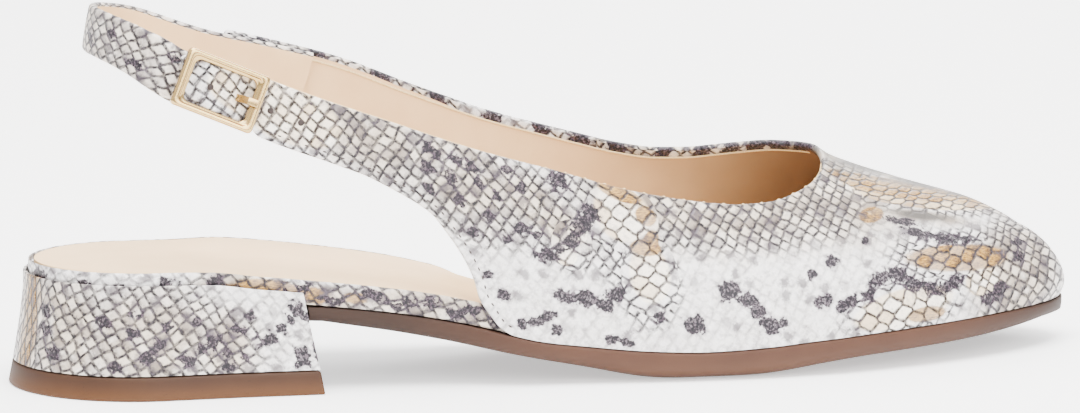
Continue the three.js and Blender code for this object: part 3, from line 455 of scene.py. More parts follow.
def tail_lift(side, x):
    if side > 0:
        return np.zeros_like(x)
    return TAIL_LIFT * ramp(BAR_INNER - CLEARANCE, CENTRE_BAR + 0.4, np.abs(along_buckle(x)))


def new_object(name, data):
    piece = bpy.data.objects.new(name, data)
    bpy.context.scene.collection.objects.link(piece)
    return piece


def srgb(code):
    """Linear colour from a hex code in sRGB."""
    parts = [int(code[i : i + 2], 16) / 255 for i in (1, 3, 5)]
    return [p / 12.92 if p <= 0.04045 else ((p + 0.055) / 1.055) ** 2.4 for p in parts] + [1.0]


class Skin:
    """Grids of points joined into one closed mesh, with map coordinates and named values per point."""

    def __init__(self, fields=()):
        self.points, self.faces, self.uvs, self.slots = [], [], [], []
        self.values = {name: [] for name in fields}
        self.count = 0

    def grid(self, points, uv, slot=0, closed=False, **values):
        rows, columns = points.shape[:2]
        index = self.count + np.arange(rows * columns).reshape(rows, columns)
        self.points.append(points.reshape(-1, 3))
        self.uvs.append(np.broadcast_to(uv, (rows, columns, 2)).reshape(-1, 2))
        for name, parts in self.values.items():
            value = np.broadcast_to(values.get(name, 0.0), (rows, columns))
            parts.append(np.array(value, float).reshape(-1))
        after = np.roll(index, -1, axis=1) if closed else index[:, 1:]
        here = index if closed else index[:, :-1]
        quads = np.stack([here[:-1], after[:-1], after[1:], here[1:]], axis=-1)
        slots = np.broadcast_to(slot, quads.shape[:2]).reshape(-1)
        self.faces.extend(quads.reshape(-1, 4).tolist())
        self.slots.extend(slots.tolist())
        self.count += rows * columns
        return index

    def tube(self, points, uv, slot=0, **values):
        """Closed grid with a face over each end."""
        index = self.grid(points, uv, slot, closed=True, **values)
        self.face(index[0])
        self.face(index[-1])

    def face(self, index, slot=0):
        self.faces.append([int(i) for i in index])
        self.slots.append(slot)

    def build(self, name, materials, sharp=50):
        points = np.concatenate(self.points)
        points = (points - np.array([ORIGIN_X, 0, 0])) * MM
        uvs = np.concatenate(self.uvs)
        mesh = bpy.data.meshes.new(name)
        mesh.from_pydata(points.tolist(), [], self.faces)
        loops = np.empty(len(mesh.loops), int)
        mesh.loops.foreach_get("vertex_index", loops)
        layer = mesh.uv_layers.new(name="ScaleMap")
        layer.data.foreach_set("uv", uvs[loops].reshape(-1))
        mesh.polygons.foreach_set("material_index", np.array(self.slots, np.int32))
        for key, parts in self.values.items():
            attribute = mesh.attributes.new(key, "FLOAT", "POINT")
            attribute.data.foreach_set("value", np.concatenate(parts))
        for material in materials:
            mesh.materials.append(material)
        shape = bmesh.new()
        shape.from_mesh(mesh)
        bmesh.ops.remove_doubles(shape, verts=shape.verts, dist=MERGE_DISTANCE)
        bmesh.ops.dissolve_degenerate(shape, edges=shape.edges, dist=0.000001)
        bmesh.ops.recalc_face_normals(shape, faces=shape.faces)
        shape.to_mesh(mesh)
        shape.free()
        mesh.shade_smooth()
        mesh.set_sharp_from_angle(angle=math.radians(sharp))
        return new_object(name, mesh)


def grown(marks, along, across):
    """The same marks, longer and wider by two factors."""
    return [(u, v, ru * along, rv * across, turn) for u, v, ru, rv, turn in marks]


def soft_marks(u, v, marks, softness=0.5):
    """Largest of soft ellipses: 0.5 on each ellipse's edge, 1 inside and 0 outside."""
    total = np.zeros(np.broadcast(u, v).shape)
    for mu, mv, ru, rv, turn in marks:
        c, s = math.cos(math.radians(turn)), math.sin(math.radians(turn))
        a = (u - mu) * c + (v - mv) * s
        b = (v - mv) * c - (u - mu) * s
        distance = np.hypot(a / ru, b / rv)
        total = np.maximum(total, np.clip(0.5 + (1 - distance) * softness, 0, 1))
    return total


# Marks of the skin on the lateral side: place along the shoe and height in the frame, half length,
# half width and turn in degrees
DARK = [
    (92, 47.5, 1.9, 1.5, 0), (99, 39.5, 2, 1.4, -60), (96.5, 37, 2.2, 1.4, 60), (94, 34, 2.2, 1.3, 50),
    (91, 32, 2, 1.1, 30), (87, 31, 1.8, 1, 20), (92, 21, 2.6, 1, -15), (97, 20.5, 2.6, 1.2, -15),
    (101, 19, 2, 1.1, -20), (104, 21.5, 2.2, 0.9, 15), (73.5, 27, 0.9, 0.9, 0), (77, 22, 1.1, 0.9, 0),
    (85, 15.5, 2, 0.8, 20), (88, 17, 1.6, 0.8, 30), (89.5, 13.3, 1.1, 1, 0), (81.5, 15, 0.9, 0.9, 0),
    (102.7, 10.6, 1.5, 0.9, 0), (106.5, 9.8, 1.3, 0.7, 0), (114, 15.5, 1, 0.9, 0), (122.5, 13.6, 2, 1.4, 0),
    (131.6, 20.8, 1.9, 1.6, 0), (135.8, 18.8, 2, 1.2, -30), (137.8, 16.2, 2.2, 1.2, -50),
    (140.8, 12.9, 2.2, 1.3, -40), (144, 13.2, 1.2, 1, 0), (158.5, 26, 1.6, 1.2, 0),
    (152.7, 23.5, 1, 0.9, 0), (155, 17.8, 2, 1, 10), (159.5, 16.2, 1.6, 1.1, 0), (162, 17.4, 1.7, 1, 10),
    (166.6, 18.1, 1.5, 0.9, 0), (180, 32.8, 3.4, 1, -25), (184.5, 29.8, 3.2, 1.2, -25),
    (190, 28.5, 3.4, 1.1, -18), (195.5, 27.8, 3, 1, -12), (169, 29.6, 1.1, 0.9, 0),
    (170.5, 21.5, 2.6, 1.2, 20), (176, 21.8, 2.8, 1.4, -20), (179, 20, 2.6, 1.3, -30),
    (184, 18.2, 2.6, 1.2, -20), (189.5, 18.6, 2.4, 1.1, 20), (212.5, 25.3, 1.5, 1.1, 0),
    (211.2, 22.6, 1.4, 1, 0), (200.7, 14, 1.6, 1, 0), (204, 16, 1.6, 1, 0), (61, 56, 1.6, 0.9, -35),
    (66.5, 54, 1.7, 0.9, -35), (70, 52, 1.6, 0.8, -35), (59.5, 52.5, 1.3, 0.9, -35),
    (65.5, 49.5, 1.4, 0.9, -45), (72, 48.5, 1.3, 0.8, -45), (60, 47.5, 1.2, 0.8, -45),
    (67.5, 44, 1.2, 0.9, -45), (76, 45, 1.1, 0.8, -45), (79, 50.5, 1.3, 0.8, -35), (82, 47, 1, 0.8, -35),
    (74, 40.5, 1, 0.8, -45), (81.5, 37.5, 1.1, 0.7, 0), (85.5, 36, 0.9, 0.7, 0), (78, 35, 0.9, 0.7, 0),
    (70, 37, 0.8, 0.7, 0),
]
CREAM = [
    (188, 37, 21, 5, -17), (27, 66, 13, 7, -20), (8, 71, 8, 5, -20), (92.5, 30.5, 2.6, 2.4, 0),
    (95.5, 35.5, 2.4, 2.4, 0), (107, 39.5, 7, 7, -20), (112.5, 25.5, 5, 7, 0), (176, 14.5, 14, 4.6, 6),
    (199, 18.5, 5, 3.6, 0),
]
GOLD = [
    (107, 44, 5, 1.8, -15), (113, 38.5, 2.4, 2.2, -30), (113.5, 33, 1.6, 2.6, -30),
    (173, 34.6, 3.4, 2.2, 20), (193, 24.2, 13, 3.4, -8), (186, 38.5, 20, 4, -17), (112, 31.5, 3.6, 1.8, 0),
    (182, 12.5, 5, 1.6, 0),
]
GREY = [
    (45, 61, 16, 9, -25), (168, 46, 14, 7, -15), (190, 42, 18, 5, -20), (68, 50, 15, 11, -30),
    (86, 42, 14, 6, -30), (130, 40, 34, 12, -5), (160, 40, 24, 14, -15), (196, 36, 22, 6, -18),
    (210, 20, 12, 16, -25), (188, 33, 13, 2.4, -18),
]
LINES = [
    (150, 46, 26, 8, -4), (20, 68, 30, 14, -20), (50, 60, 18, 11, -25), (68, 50, 16, 12, -35),
    (84, 42, 16, 8, -30), (130, 41, 36, 12, -5), (108, 36, 9, 14, 0), (112, 24, 7, 10, 0),
    (177, 15, 15, 6, 6), (193, 24.5, 16, 7, -8), (212, 20, 12, 16, -20), (190, 36, 20, 5, -16),
    (94, 33, 5, 6, 0), (158, 37, 10, 8, -10),
]
BIG = [
    (107, 39, 9, 9, -15), (112.5, 25.5, 7, 10, 0), (94, 33, 5, 6, 0), (176, 15, 16, 6, 6),
    (193, 24.5, 14, 5, -8),
]
BRICK = [(190, 37, 21, 6, -16), (180, 36, 9, 6, -10)]
ASH = [
    (154, 60, 10, 3.6, 0), (166, 60, 12, 5.4, 0), (180, 60, 12, 5.8, 0), (194, 60, 11, 4.4, 0),
    (204, 60, 8, 2.4, 0), (186, 33.5, 9, 1.6, -18),
]
# Dark squares along the folded top edge of the medial side: place, half length and half width
EDGE_DARK = [
    (20, 1.6, 1.4), (32, 1.4, 1.2), (46, 1.6, 1.2), (62, 1.8, 1.4), (76, 1.6, 1.4), (90, 2, 1.4),
    (102, 1.8, 1.5), (112, 2, 1.6), (121, 2.2, 1.6), (133, 1.8, 1.6), (143, 2, 1.8), (149, 2.2, 2.2),
    (155, 2, 2.4), (160.5, 2, 2.6), (165, 1.6, 2.6), (169, 1.6, 2.2), (174, 1.2, 1.6),
]


def on_map(marks, side, shift=0.0, lower=0.0):
    """Marks given by height, moved onto the map of one side of the upper."""
    placed = []
    for x, z, ru, rv, turn in marks:
        at = min(max(x + shift, MAP_RANGE[0]), MAP_RANGE[1]) + ORIGIN_X
        line = rib(side, np.full(81, at), np.linspace(0, 1, 81))
        v = np.interp(z + lower, line[:, 2], walked(line))
        placed.append((at, v, ru, rv, turn))
    return placed


# Kinds of marking on the upper: field, its marks and how sharp their edges are
UPPER_MARKS = (
    ("dark", grown(DARK, 1.25, 1.35), 0.5), ("cream", CREAM, 1.6), ("gold", GOLD, 1.0), ("grey", GREY, 1.2),
    ("lines", LINES, 1.4), ("big", BIG, 2.4), ("brick", BRICK, 2.4), ("ash", ASH, 0.9),
)
FIELDS = tuple(name for name, _, _ in UPPER_MARKS)
# The medial side repeats the lateral marks, moved forwards and taken from a greater height
MEDIAL_SHIFT = 5
MEDIAL_LOWER = 3


def upper_fields(side, u, v):
    """Strength of each kind of marking over one side of the upper."""
    shift, lower = (0, 0) if side < 0 else (MEDIAL_SHIFT, MEDIAL_LOWER)
    values = {}
    for name, marks, softness in UPPER_MARKS:
        values[name] = soft_marks(u, v, on_map(marks, side, shift, lower), softness)
    if side > 0:
        edge = [(x + ORIGIN_X, 0, ru, rv, 0) for x, ru, rv in EDGE_DARK]
        values["dark"] = np.maximum(values["dark"], soft_marks(u, v[:, -1:] - v, edge))
    return values


def upper_stations(side):
    shift = CUT_SHIFT if side > 0 else 0
    start = MEDIAL_QUARTER_END if side > 0 else BUCKLE[0][0] + TAIL_END * BUCKLE[1][0]
    cut_from, cut_to = [share * LAST_LENGTH + shift for share in QUARTER_CUT]
    throat_middle = THROAT_X - THROAT_DEPTH / 2
    parts = [
        spaced(start, start + TAIL_ROUND, 6, "start"),
        spaced(start + TAIL_ROUND, cut_from, 40 if side > 0 else 70),
        spaced(cut_from, cut_to, 70),
        spaced(cut_to, throat_middle, 80),
        spaced(throat_middle, THROAT_X, 50, "end"),
        spaced(THROAT_X, TIP_X, 90, "end"),
    ]
    return np.concatenate([parts[0]] + [part[1:] for part in parts[1:]])


def edge_roll(outer, inner, inside, bulge, steps=5):
    """Rounded edge between two rows of points, bulging away from the wall's inside."""
    tangent = unit(np.gradient((outer + inner) / 2, axis=0))
    normal = outer - inner
    away = np.cross(tangent, normal)
    flip = np.sign((away * ((outer + inner) / 2 - inside)).sum(axis=-1, keepdims=True))
    away = unit(away) * np.where(flip == 0, 1, flip)
    reach_out = np.linalg.norm(normal, axis=-1, keepdims=True) / 2 * bulge
    turn = np.linspace(0, math.pi, steps + 1)
    middle = ((outer + inner) / 2)[:, None]
    across = (normal / 2)[:, None] * np.cos(turn)[None, :, None]
    return middle + across + (away * reach_out)[:, None] * np.sin(turn)[None, :, None]


def build_upper(materials, outer_steps=46, inner_steps=14):
    """Upper in two walls that share the ridge line: skin outside, lining inside, folded top edge."""
    skin = Skin(FIELDS)
    thin_from, thin_to = [BUCKLE_LENGTH / 2 + reach_out for reach_out in TAIL_THINS]
    for side in (-1, 1):
        x = upper_stations(side)
        bottom, top = edges(side, x)
        lift = tail_lift(side, x)
        thin = ramp(thin_from, thin_to, along_buckle(x)) if side < 0 else 0 * x
        wall = mix(WALL, TAIL_WALL, thin)
        k = np.linspace(0, 1, outer_steps + 1)
        t = bottom[:, None] + (top - bottom)[:, None] * k
        across = np.gradient(rib(side, x[:, None], t), axis=1)[:, -1] * outer_steps
        edge_line = rib(side, x, top)
        tangent = unit(np.gradient(edge_line, axis=0))
        width = np.linalg.norm(np.cross(across, tangent), axis=-1)
        lip = np.clip(FOLD_LIP / np.maximum(width, 0.5), 0.001, 0.08)
        rest = (1 - lip)[:, None] * np.linspace(1, 0, inner_steps)
        k_in = np.concatenate([np.ones((len(x), 1)), (1 - lip[:, None] * 0.5), rest], axis=1)
        t_in = bottom[:, None] + (top - bottom)[:, None] * k_in
        xs = x[:, None]
        normal = outward(side, xs, t)
        outer = rib(side, xs, t) + normal * lift[:, None, None]
        inner_normal = outward(side, xs, t_in)
        inner = rib(side, xs, t_in) + inner_normal * (lift - wall)[:, None, None]
        closed = x >= THROAT_X - 1e-6
        line = np.linspace(0, 1, 61)
        arc = [walked(row) for row in rib(side, xs, line)]
        v = np.stack([np.interp(t[i], line, arc[i]) for i in range(len(x))])
        v_in = np.stack([np.interp(t_in[i], line, arc[i]) for i in range(len(x))])
        uv = stack(xs, v)
        values = upper_fields(side, xs, v)
        skin.grid(outer, uv, 0, **values)
        slots = np.ones((1, inner_steps + 1), int)
        slots[:, :2] = 0
        edge_values = {name: value[:, -1:] for name, value in values.items()}
        slots = np.broadcast_to(slots, (len(x) - 1, inner_steps + 1))
        skin.grid(inner, stack(xs, v_in), slots, **edge_values)
        open_rows = int(closed.argmax()) + 1
        roll = edge_roll(outer[:, -1], inner[:, 0], rib(side, x, mix(bottom, top, 0.8)), 0.6)[:open_rows]
        roll_v = v[:open_rows, -1:] + np.linspace(0, FOLD_MAP, roll.shape[1])
        skin.grid(roll, stack(xs[:open_rows], roll_v), 0,
                  **{name: value[:open_rows] for name, value in edge_values.items()})
        foot = ramp(0.99, 0.8, cut_depth((x - (CUT_SHIFT if side > 0 else 0)) / LAST_LENGTH))
        low = edge_roll(outer[:, 0], inner[:, -1], rib(side, x, mix(bottom, top, 0.2)), 0.5 * foot[:, None])
        low_values = {name: value[:, :1] for name, value in values.items()}
        skin.grid(low, stack(xs, v[:, :1] - np.linspace(0, FOLD_MAP, low.shape[1])), 0, **low_values)
        ring = np.concatenate([outer[0], roll[0, 1:-1], inner[0], low[0, 1:-1][::-1]])
        index = skin.grid(ring[None], np.array([x[0], 0.0]))
        skin.face(index[0])
    return skin.build("Upper", materials, sharp=60)


def board_thickness(x):
    return mix(BOARD_THICKNESS, FORE_BOARD_THICKNESS, ramp(*BOARD_THINS, x / LAST_LENGTH))


def slab_stations(rear, front, fine=4):
    ball = TOE_CAP_START * LAST_LENGTH
    return np.concatenate([
        spaced(-rear, SEAT_ROUND, 16 * fine, "start")[1:],
        spaced(SEAT_ROUND, ball, 20 * fine)[1:],
        spaced(ball, LAST_LENGTH + front, 16 * fine, "end")[1:-1],
    ])


def both_sides(row, levels):
    """Points round a flat piece, from its lateral rows and its medial ones in reverse."""
    sides = [np.stack([row(side, *level) for level in levels], axis=1) for side in (-1, 1)]
    return np.concatenate([sides[0], sides[1][:, ::-1]], axis=1)


def slab_ring(x, levels):
    """Points round a flat piece on the seat: each level has a half width and a height above the seat."""
    def row(side, wide, height):
        y = centre(x) + side * wide
        return stack(x, y, seat(x, y) + height)

    return both_sides(row, levels)


# Marks on the covered rim: place along the shoe and height over the seat
RIM_DARK = [
    (-0.5, 1.2, 3.2, 1.7, 0), (-2, 3.4, 1, 1.4, 20), (10, 3.4, 1.5, 1.6, 0), (6.5, 1.2, 1.6, 0.8, 0),
    (-20, 3.4, 1.2, 0.6, 0), (-13, 2.2, 1.6, 0.5, 20), (-28, 3, 1, 1.2, 0), (27, 1.4, 3, 1.4, 0),
    (31, 4, 1.6, 0.9, 0), (38, 1.8, 2.4, 1, 0), (47, 4, 2.2, 1.1, 0), (53, 2, 2.4, 1.2, 20),
    (60, 3.6, 2, 1, 0), (66, 1.8, 2.2, 1.1, 0), (71, 4, 1.8, 1, 10), (77, 2.4, 1.8, 1.1, 0),
]
RIM_GOLD = [(12, 1.6, 6, 1.6, 0), (22, 3.2, 8, 2.2, 0), (33, 2.4, 4, 2, 0), (43, 2.6, 3, 1.4, 0)]
RIM_GREY = [(64, 3, 22, 5, 0), (36, 2, 12, 3, 0), (14, 3, 9, 4, 0)]


def rim_values(x, z):
    u = x - ORIGIN_X
    golden = soft_marks(u, z, RIM_GOLD, 1.2)
    return {
        "dark": soft_marks(u, z, grown(RIM_DARK, 1.1, 1.2)),
        "gold": 0.75 * golden,
        "grey": soft_marks(u, z, RIM_GREY, 1.4),
        "lines": np.clip(0.2 + 0.6 * soft_marks(u, z, RIM_GREY, 1.2) + 0.3 * golden, 0, 1),
        "cream": 0.3 * golden,
    }


def build_board(materials):
    skin = Skin(FIELDS)
    x = slab_stations(0, -FORE_BOARD_INSET)
    fore = ramp(*BOARD_THINS, x / LAST_LENGTH)
    width = half(x, -FORE_BOARD_INSET * fore)
    high = board_thickness(x)
    recess = ramp(*SOCK_RISES[::-1], x / LAST_LENGTH)
    profile = [
        (1.2, 0), (0.35, 0), (0.08, 0.12), (0, 0.45), (0, mix(0.45, high - 1.2, 0.34)),
        (0, mix(0.45, high - 1.2, 0.67)), (0, high - 1.2), (0.06, high - 0.7), (0.25, high - 0.28),
        (0.55, high - 0.05), (1.0, high), (1.2, high - 0.1), (1.3, high - 0.6 * recess),
        (1.35, high - 1.3 * recess),
    ]
    ring = slab_ring(x, [(np.maximum(width - inset, width * THINNEST), height) for inset, height in profile])
    levels = np.stack([np.broadcast_to(height, x.shape) for _, height in profile], axis=1)
    levels = np.concatenate([levels, levels[:, ::-1]], axis=1)
    arc = walked(ring[:, 3])[:, None]
    values = rim_values(x[:, None] + 0 * levels, levels)
    skin.tube(ring, stack(arc, levels), **values)
    return skin.build("Covered_insole_board", materials, sharp=60)


def build_sock(materials):
    skin = Skin()
    fore_inset = FORE_BOARD_INSET + CLEARANCE
    x = slab_stations(-SOCK_INSET, -fore_inset)
    share = x / LAST_LENGTH
    inset = mix(SOCK_INSET, fore_inset, ramp(*SOCK_WIDENS, share))
    width = half(x, -inset)
    sunk = (SOCK_THICKNESS + SOCK_GAP) * (1 - ramp(*SOCK_RISES, share))
    low = board_thickness(x) + SOCK_GAP - sunk
    high = low + SOCK_THICKNESS
    profile = [(0.15, low), (0, low + 0.15), (0, high - 0.3), (0.08, high - 0.12), (0.3, high - 0.02)]
    rows = [(np.maximum(width - step, width * THINNEST), height) for step, height in profile]
    edge = np.maximum(width - profile[-1][0], width * THINNEST)
    rows += [(edge * (1 - share_in), high) for share_in in np.linspace(0, 1, 9)[1:]]
    ring = slab_ring(x, rows)
    skin.tube(ring, ring[..., :2])
    return skin.build("Insole_sock", materials, sharp=60)


def breast_x(z):
    return HEEL_LENGTH + BREAST_LEAN * (1 - z / SEAT_HEIGHT)


def sole_bottom(x, y):
    share = x / LAST_LENGTH
    shank = (SHANK_THICKNESS - SOLE_THICKNESS) * sole_shank(share)
    toe = (TOE_THICKNESS - SOLE_THICKNESS) * sole_toe(share)
    free = seat(x, y) - CLEARANCE - SOLE_THICKNESS - shank - toe
    return free * (1 - sole_ground(share))


def worn_bottom(x, y):
    """Bottom of the sole with its changes of slope rolled off."""
    shifts = np.linspace(-WORN_REACH, WORN_REACH, 13)
    weights = 1 - (shifts / (WORN_REACH + 1)) ** 2
    parts = [sole_bottom(x + shift, y) * weight for shift, weight in zip(shifts, weights)]
    return sum(parts) / weights.sum()


def build_outsole(materials):
    skin = Skin()
    forepart = WALL + CLEARANCE + SOLE_EDGE
    start, ball = breast_x(0), TOE_CAP_START * LAST_LENGTH
    x = np.concatenate([spaced(start, ball, 110), spaced(ball, LAST_LENGTH + forepart, 70, "end")[1:-1]])
    width = half(x, forepart * ramp(*SOLE_WIDENS, x / LAST_LENGTH))
    inset = np.minimum(SOLE_ROUNDING, width * 0.5)
    rim = curve([(0, 1), (0.12, 0.5), (0.33, 0.2), (0.6, 0.04), (1, 0.02)], 1)
    heights = np.array([0, 0.03, 0.07, 0.12, 0.2, 0.33, 0.46, 0.6, 0.75, 0.88, 0.95, 0.985, 1])
    tuck = np.array([0, 0, 0, 0, 0, 0, 0, 0, 0, 0, 0.012, 0.03, 0.07])

    def row(side, height, soft):
        y = centre(x) + side * (width - inset * (float(rim(height)) + soft))
        z = mix(worn_bottom(x, y), seat(x, y) - CLEARANCE, height)
        back = np.where(np.arange(len(x)) == 0, breast_x(z) + CLEARANCE, x)
        return stack(back, y, z)

    ring = both_sides(row, list(zip(heights, tuck)))
    skin.tube(ring, stack(x[:, None], np.concatenate([heights, heights[::-1]])))
    return skin.build("Rubber_outsole", materials, sharp=40)


def heel_grow(z):
    share = np.clip(1 - z / SEAT_HEIGHT, 0, 1)
    return CLEARANCE + CUP_WALL + HEEL_FLARE * share ** HEEL_FLARE_POWER


def heel_outline(z_at, height, inset, steps=90):
    """Outline round the heel, from the lateral breast corner round the back to the medial one."""
    grow = float(heel_grow(height)) - inset
    x = spaced(breast_x(height) - inset, -grow, steps, "end")
    lateral = centre(x) - half(x, grow)
    medial = centre(x) + half(x, grow)
    left = stack(x, lateral, z_at(x, lateral))
    right = stack(x, medial, z_at(x, medial))
    return np.concatenate([left, right[:-1][::-1]])


# Marks on the heel block: place along the lateral side and height in the frame
HEEL_DARK = [
    (-7, 10.5, 1.9, 1.1, 20), (2, 9, 1.7, 1.3, 0), (9, 13, 1.5, 1.3, 0), (28.5, 20, 1.5, 1.4, 0),
    (31, 18, 1.1, 0.9, 0), (27.2, 17.4, 0.6, 1.6, 30), (22, 13.4, 2.4, 1.2, 15), (25, 15.6, 1, 0.9, 0),
    (29.5, 9, 0.8, 2.3, 35), (29.5, 9, 0.8, 2.3, -35), (34, 17, 1.4, 1.2, 0), (33.4, 9.4, 0.7, 2.2, 25),
    (33.4, 9.4, 0.6, 1.8, -30), (-2, 17, 1.3, 0.9, 0), (-14, 8, 1.5, 1, 0), (5, 18, 1.1, 0.8, 0),
    (16, 9, 1.1, 1, 0), (18, 19, 1, 0.9, 0), (12, 7, 1.4, 0.9, 0), (-10, 15.5, 1.4, 0.9, 0),
    (-4, 13, 1.2, 0.9, 0), (6, 11.4, 1.1, 0.9, 0), (-16, 18, 1.2, 0.9, 0), (-9, 20, 1.2, 0.8, 0),
    (12, 10.4, 1.2, 0.7, 20), (15, 15.6, 1.3, 0.8, 0), (-27, 10, 0.9, 1.2, 0), (-28, 15, 0.8, 1, 0),
    (-27.5, 19.5, 0.8, 1.1, 0),
]
HEEL_GREY = [(-6, 14, 16, 12, 0), (-24, 15, 8, 14, 0), (12, 12, 7, 8, 0)]


def build_heel_block(materials):
    skin = Skin(FIELDS + ("tan",))
    floor = LIFT_THICKNESS + CLEARANCE

    def rim(x, y):
        return seat(np.maximum(x, 0), y) + CUP_HEIGHT

    rows = []
    for share in np.linspace(0, 1, 19):
        height = float(mix(floor, rim(0, 0), share))
        rows.append(heel_outline(lambda x, y: mix(floor, rim(x, y), share), height, 0.0))
    top = rows[-1]
    middle = np.array([HEEL_MIDDLE, 0, 0])
    inward = unit((middle - top) * np.array([1, 1, 0]))
    lip = top + inward * 0.25 + np.array([0, 0, 0.12])
    inner = top + inward * 0.75
    under = top + inward * 0.85 - np.array([0, 0, 2.2])
    rows[-1] = top - np.array([0, 0, 0.2])
    rows += [top + inward * 0.06 + np.array([0, 0, 0.02]), lip, inner, under]
    foot = rows[0] + unit((middle - rows[0]) * np.array([1, 1, 0])) * 0.4
    rows = [foot] + rows
    grid = np.stack(rows)
    arc = walked(grid[8])
    u = grid[..., 0] - ORIGIN_X
    z = grid[..., 2]
    medial = grid[..., 1] > 0
    marks = soft_marks(np.where(medial, u + 6, u), np.where(medial, 30 - z, z), grown(HEEL_DARK, 1.15, 1.2))
    rear = ramp(-22, -30, u)
    grey = soft_marks(u, z, HEEL_GREY, 1.2)
    tan = np.exp(-((np.abs(grid[..., 1] + 6) / 7) ** 2)) * ramp(-18, -28, u)
    values = {
        "dark": marks, "grey": grey, "lines": np.clip(grey * 0.8 + rear * 0.7 + 0.1, 0, 1),
        "cream": 0.2 * grey, "gold": 0.5 * tan, "tan": tan,
    }
    skin.tube(grid, stack(arc[None, :], z), **values)
    return skin.build("Heel_block_covered", materials, sharp=50)


def build_top_piece(materials):
    skin = Skin()
    levels = [
        (0, 0.6), (0.08, 0.3), (0.25, 0.1), (0.5, 0), (1.4, 0), (2.7, 0), (4.2, 0), (5.0, 0), (5.35, 0.1),
        (5.5, 0.35),
    ]
    rows = [heel_outline(lambda x, y: 0 * x + z, z, inset) for z, inset in levels]
    grid = np.stack(rows)
    arc = walked(grid[4])
    skin.tube(grid, stack(arc[None, :], grid[..., 2]))
    return skin.build("Heel_top_lift", materials, sharp=50)


def through(points, count):
    """Points evenly spaced along a smooth centripetal curve, with their directions."""
    p = np.asarray(points)
    p = np.concatenate([[2 * p[0] - p[1]], p, [2 * p[-1] - p[-2]]])
    dense = []
    for i in range(1, len(p) - 2):
        p0, p1, p2, p3 = p[i - 1 : i + 3]
        d0, d1, d2 = [max(np.linalg.norm(b - a) ** 0.5, 1e-6) for a, b in ((p0, p1), (p1, p2), (p2, p3))]
        m1 = ((p1 - p0) / d0 - (p2 - p0) / (d0 + d1) + (p2 - p1) / d1) * d1
        m2 = ((p2 - p1) / d1 - (p3 - p1) / (d1 + d2) + (p3 - p2) / d2) * d1
        t = np.linspace(0, 1, 40, endpoint=False)[:, None]
        square = 3 * (p2 - p1) - 2 * m1 - m2
        cube = 2 * (p1 - p2) + m1 + m2
        dense.append(p1 + m1 * t + square * t ** 2 + cube * t ** 3)
    dense = np.concatenate(dense + [p[-2:-1]])
    arc = walked(dense)
    at = np.linspace(0, arc[-1], count + 1)
    line = np.stack([np.interp(at, arc, dense[:, k]) for k in range(3)], axis=1)
    return line, unit(np.gradient(line, axis=0)), at


def sling_points():
    middle = STRAP_THICKNESS / 2
    under_tail = -TAIL_WALL - 2.5 * CLEARANCE - middle
    points = [
        buckle_point(CENTRE_BAR / 2 + LOOP_FRONT, 0, LOOP_TOP - middle),
        buckle_point(-CENTRE_BAR / 2 - LOOP_BACK, 0, LOOP_TOP - middle),
        buckle_point(-BAR_INNER + 1, 0, under_tail),
        buckle_point(-BUCKLE_LENGTH / 2, 0, under_tail),
    ]
    round_x = STRAP_BACK_X + STRAP_HALF_WIDTH - STRAP_ROUND_INSET
    for turn, height in SLING:
        angle = math.radians(turn)
        x = round_x - (round_x - STRAP_BACK_X - middle) * math.sin(angle)
        z = COLLAR_HEIGHT * height - STRAP_BACK_DROP
        points.append(np.array([x, -STRAP_HALF_WIDTH * math.cos(angle), z]))
    for share in (0, 0.5, 1):
        x = MEDIAL_QUARTER_END - STRAP_RUN_IN + (STRAP_OVERLAP + STRAP_RUN_IN) * share
        point, normal = wall_point(1, x, topline(1, x) - strap_rise(1, x) / 2)
        points.append(point - normal * (WALL + 2 * CLEARANCE + middle))
    return points


# Marks on the sling strap: place along it and across it, in millimetres, then as above
STRAP_DARK = [
    (14, 3.6, 1.6, 0.8, 20), (22, -3, 1.8, 0.8, -10), (31, 2, 1.4, 0.9, 0), (40, -2, 2, 0.8, 20),
    (49, 3.4, 1.6, 0.8, 0), (58, -3.4, 1.6, 0.7, 0), (69, 2.4, 1.8, 0.8, 0), (80, -2, 1.8, 0.8, 0),
    (92, 3, 1.8, 0.8, 0), (104, -2.4, 1.8, 0.8, 0), (116, 2, 1.8, 0.8, 0), (128, -1, 1.8, 0.8, 0),
]


